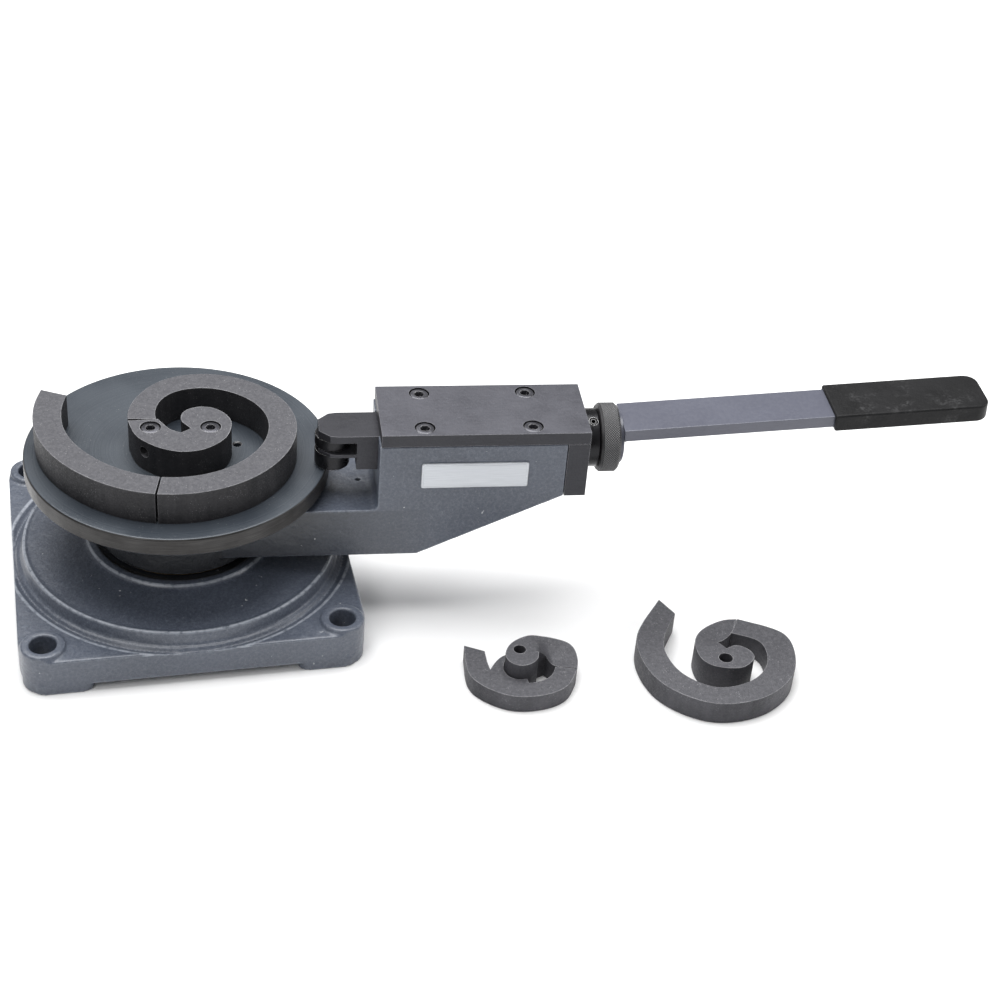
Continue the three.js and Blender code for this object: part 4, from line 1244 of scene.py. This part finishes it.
def handle_bar():
    """The flat lever on its round root plate, which covers the feed screw's end."""
    half_w, half_t = LEVER_WIDTH / 2, LEVER_THICK / 2
    flat = edged(block((0, LEVER_LENGTH), (-half_w, half_w), (-half_t, half_t)), 0.7)
    flat = moved(flat, ON_LEVER)
    start, end, seat, edge_r = RING_HIGH.x + 0.3, LEVER_ROOT.x + 0.6, LEVER_ROOT.x - 0.1, ROOT_R - 0.6
    outside = [(ROOT_BORE, start), (edge_r, start), (ROOT_R, start + 0.6), (ROOT_R, end - 0.6)]
    inside = [(edge_r, end), (0, end), (0, seat), (ROOT_BORE, seat), (ROOT_BORE, start)]
    root = along_feed(outside + inside)
    joined(root, flat)
    return delivered(root, "flat_lever", "feed", "lever_paint", LEVER, "handle_bar", ARM_FRAME)


WELD_R, WELD_RIPPLE, WELD_STEPS, WELD_SIDES = 1.75, 0.22, 60, 10


def weld_bead():
    """A rippled bead under the lever, where it meets its root plate."""
    half_w, half_t = LEVER_WIDTH / 2 - 1.5, LEVER_THICK / 2 + 0.4
    bm = bmesh.new()
    rings = []
    for i in range(WELD_STEPS + 1):
        y = half_w * (2 * i / WELD_STEPS - 1)
        end = min(i, WELD_STEPS - i)
        r = (WELD_R + WELD_RIPPLE * math.sin(i * 1.35)) * min(1.0, 0.35 + end * 0.22)
        ring = []
        for k in range(WELD_SIDES):
            a = FULL * k / WELD_SIDES
            x, z = LEVER_ROOT.x + 1.0 + r * math.cos(a), LEVER_ROOT.z - half_t + r * math.sin(a)
            ring.append(bm.verts.new((x, AXIS_Y + y, z)))
        rings.append(ring)
    bm.faces.new(rings[0])
    bm.faces.new(rings[-1])
    bridge(bm, rings)
    return delivered(shown(bm), "lever_weld", "feed", "lever_paint", WELD, None, ARM_FRAME, 59)


def handle_grip():
    """A dipped sleeve: rounded far end, soft edges, a hollow for the bar."""
    start, end, r = GRIP_FROM, GRIP_FROM + GRIP_LENGTH, GRIP_CORNER_R
    half_w, half_t = GRIP_WIDTH / 2, GRIP_THICK / 2
    round_end = arc(end - r, -half_w + r, r, -90, 0, 14) + arc(end - r, half_w - r, r, 0, 90, 14)
    sleeve = edged(prism([(start, half_w), (start, -half_w)] + round_end, -half_t, half_t), 1.7, 5)
    y, z = LEVER_WIDTH / 2 + GRIP_PLAY, LEVER_THICK / 2 + GRIP_PLAY
    cut(sleeve, block((start - 3, LEVER_LENGTH + 0.3), (-y, y), (-z, z)))
    moved(sleeve, ON_LEVER)
    return delivered(sleeve, "dipped_grip", "feed", "grip_vinyl", VINYL, "handle_grip", ARM_FRAME, 40)


# ---------- clamp screw ----------
def clamp_screw():
    r, length = CLAMP_R, CLAMP_LENGTH
    profile = [(0, 0), (r - 0.75, 0), (r, 0.8), (r, length - 2), (r - 1.35, length), (0, length)]
    screw = lathe(profile, 48)
    cut(screw, lathe([(0, -1), (2.2, -1), (2.2, 4), (0, 5)], 6))
    foot = middle("bar_clamp_screw") - CLAMP_AXIS * length / 2
    moved(screw, Matrix.Translation(foot) @ pointing(CLAMP_AXIS))
    return delivered(screw, "clamp_grub_screw", "clamp_screw", "bright_steel", STEEL, "bar_clamp_screw")


# ---------- the studio ----------
CAMERA = {"azimuth": -15.84, "elevation": 36.10, "roll": 5.01, "distance": 1.49514, "lens": 71.51}
TARGET = Vector((0.23852, -0.00533, 0.050))
LAMPS_AIM = Vector((0.2, 0, 0.08))


def add_camera():
    a, e, r = (math.radians(CAMERA[k]) for k in ("azimuth", "elevation", "roll"))
    back = Vector((math.sin(a) * math.cos(e), -math.cos(a) * math.cos(e), math.sin(e)))
    right = Vector((math.cos(a), math.sin(a), 0))
    up = back.cross(right)
    x = right * math.cos(r) + up * math.sin(r)
    y = up * math.cos(r) - right * math.sin(r)
    data = bpy.data.cameras.new("camera")
    data.lens = CAMERA["lens"]
    data.sensor_width = 36
    camera = bpy.data.objects.new("camera", data)
    turn = Matrix((x, y, back)).transposed().to_4x4()
    camera.matrix_world = Matrix.Translation(TARGET + back * CAMERA["distance"]) @ turn
    bpy.context.scene.collection.objects.link(camera)
    bpy.context.scene.camera = camera


def add_light(name, place, size, power):
    data = bpy.data.lights.new(name, "AREA")
    data.shape = "DISK"
    data.size = size
    data.energy = power
    lamp = bpy.data.objects.new(name, data)
    lamp.matrix_world = Matrix.Translation(place) @ pointing(LAMPS_AIM - Vector(place), "-Z")
    bpy.context.scene.collection.objects.link(lamp)


def add_studio():
    floor = prism([(-4, -4), (5, -4), (5, 5), (-4, 5)], -0.02, -0.0003)
    floor.name = "floor"
    floor.data.materials.append(pale_floor())
    add_light("overhead", (0.0, 0.5, 2.2), 2.4, 86)
    add_light("front_left", (-1.2, -1.4, 1.7), 1.0, 12)
    add_light("right", (1.9, -0.4, 1.2), 0.9, 10)
    world = bpy.data.worlds.new("studio")
    world.use_nodes = True
    sky = world.node_tree.nodes["Background"]
    sky.inputs["Color"].default_value = (1.0, 1.0, 1.0, 1)
    sky.inputs["Strength"].default_value = 0.28
    bpy.context.scene.world = world
    bpy.context.scene.view_settings.view_transform = "Standard"


# ---------- everything in order ----------
add_camera()
add_studio()

base_casting()
form_disc()
form_center()
scroll_band("form_middle", "scroll_middle")
scroll_band("form_outer", "scroll_outer")
clamp_screw()
for i in (1, 2):
    screw_at(f"form_screw_{i}", f"form_cap_screw_{i}", "base")

arm_casting()
slide_cover()
end_plate()
for node in COVER_SCREWS:
    screw_at(node, node.replace("screw", "cap_screw"), "arm", ARM_FRAME)
for node in PLATE_SCREWS:
    screw_at(node, node.replace("screw", "cap_screw"), "arm", ARM_FRAME, ONTO_X)
feed_bush()
bush_grub_screw()
badge_plate()

ram()
roller_pin()
roller("upper_roller", "upper_wheel")
roller("lower_roller", "lower_wheel", 2.8)

knurled_ring()
handle_bar()
weld_bead()
handle_grip()

for size in ("small", "large"):
    spare_ring(size)
    spare_center(size)

SLOT_MATERIAL = {
    "hammertone_paint": PAINT,
    "disc_enamel": DISC_FACE,
    "form_iron": FORM_SIDE,
    "black_oxide": OXIDE_TURNED,
    "knurled_steel": KNURL,
    "bright_steel": STEEL,
    "bronze": BRONZE,
    "lever_paint": LEVER,
    "grip_vinyl": VINYL,
    "badge_plate": BADGE,
}
for part in frame["record"]["subparts"]:
    node = frame["nodes"][part["node"]]
    node.data.materials.clear()
    node.data.materials.append(SLOT_MATERIAL[part["material_slot"]])

bpy.context.view_layer.update()
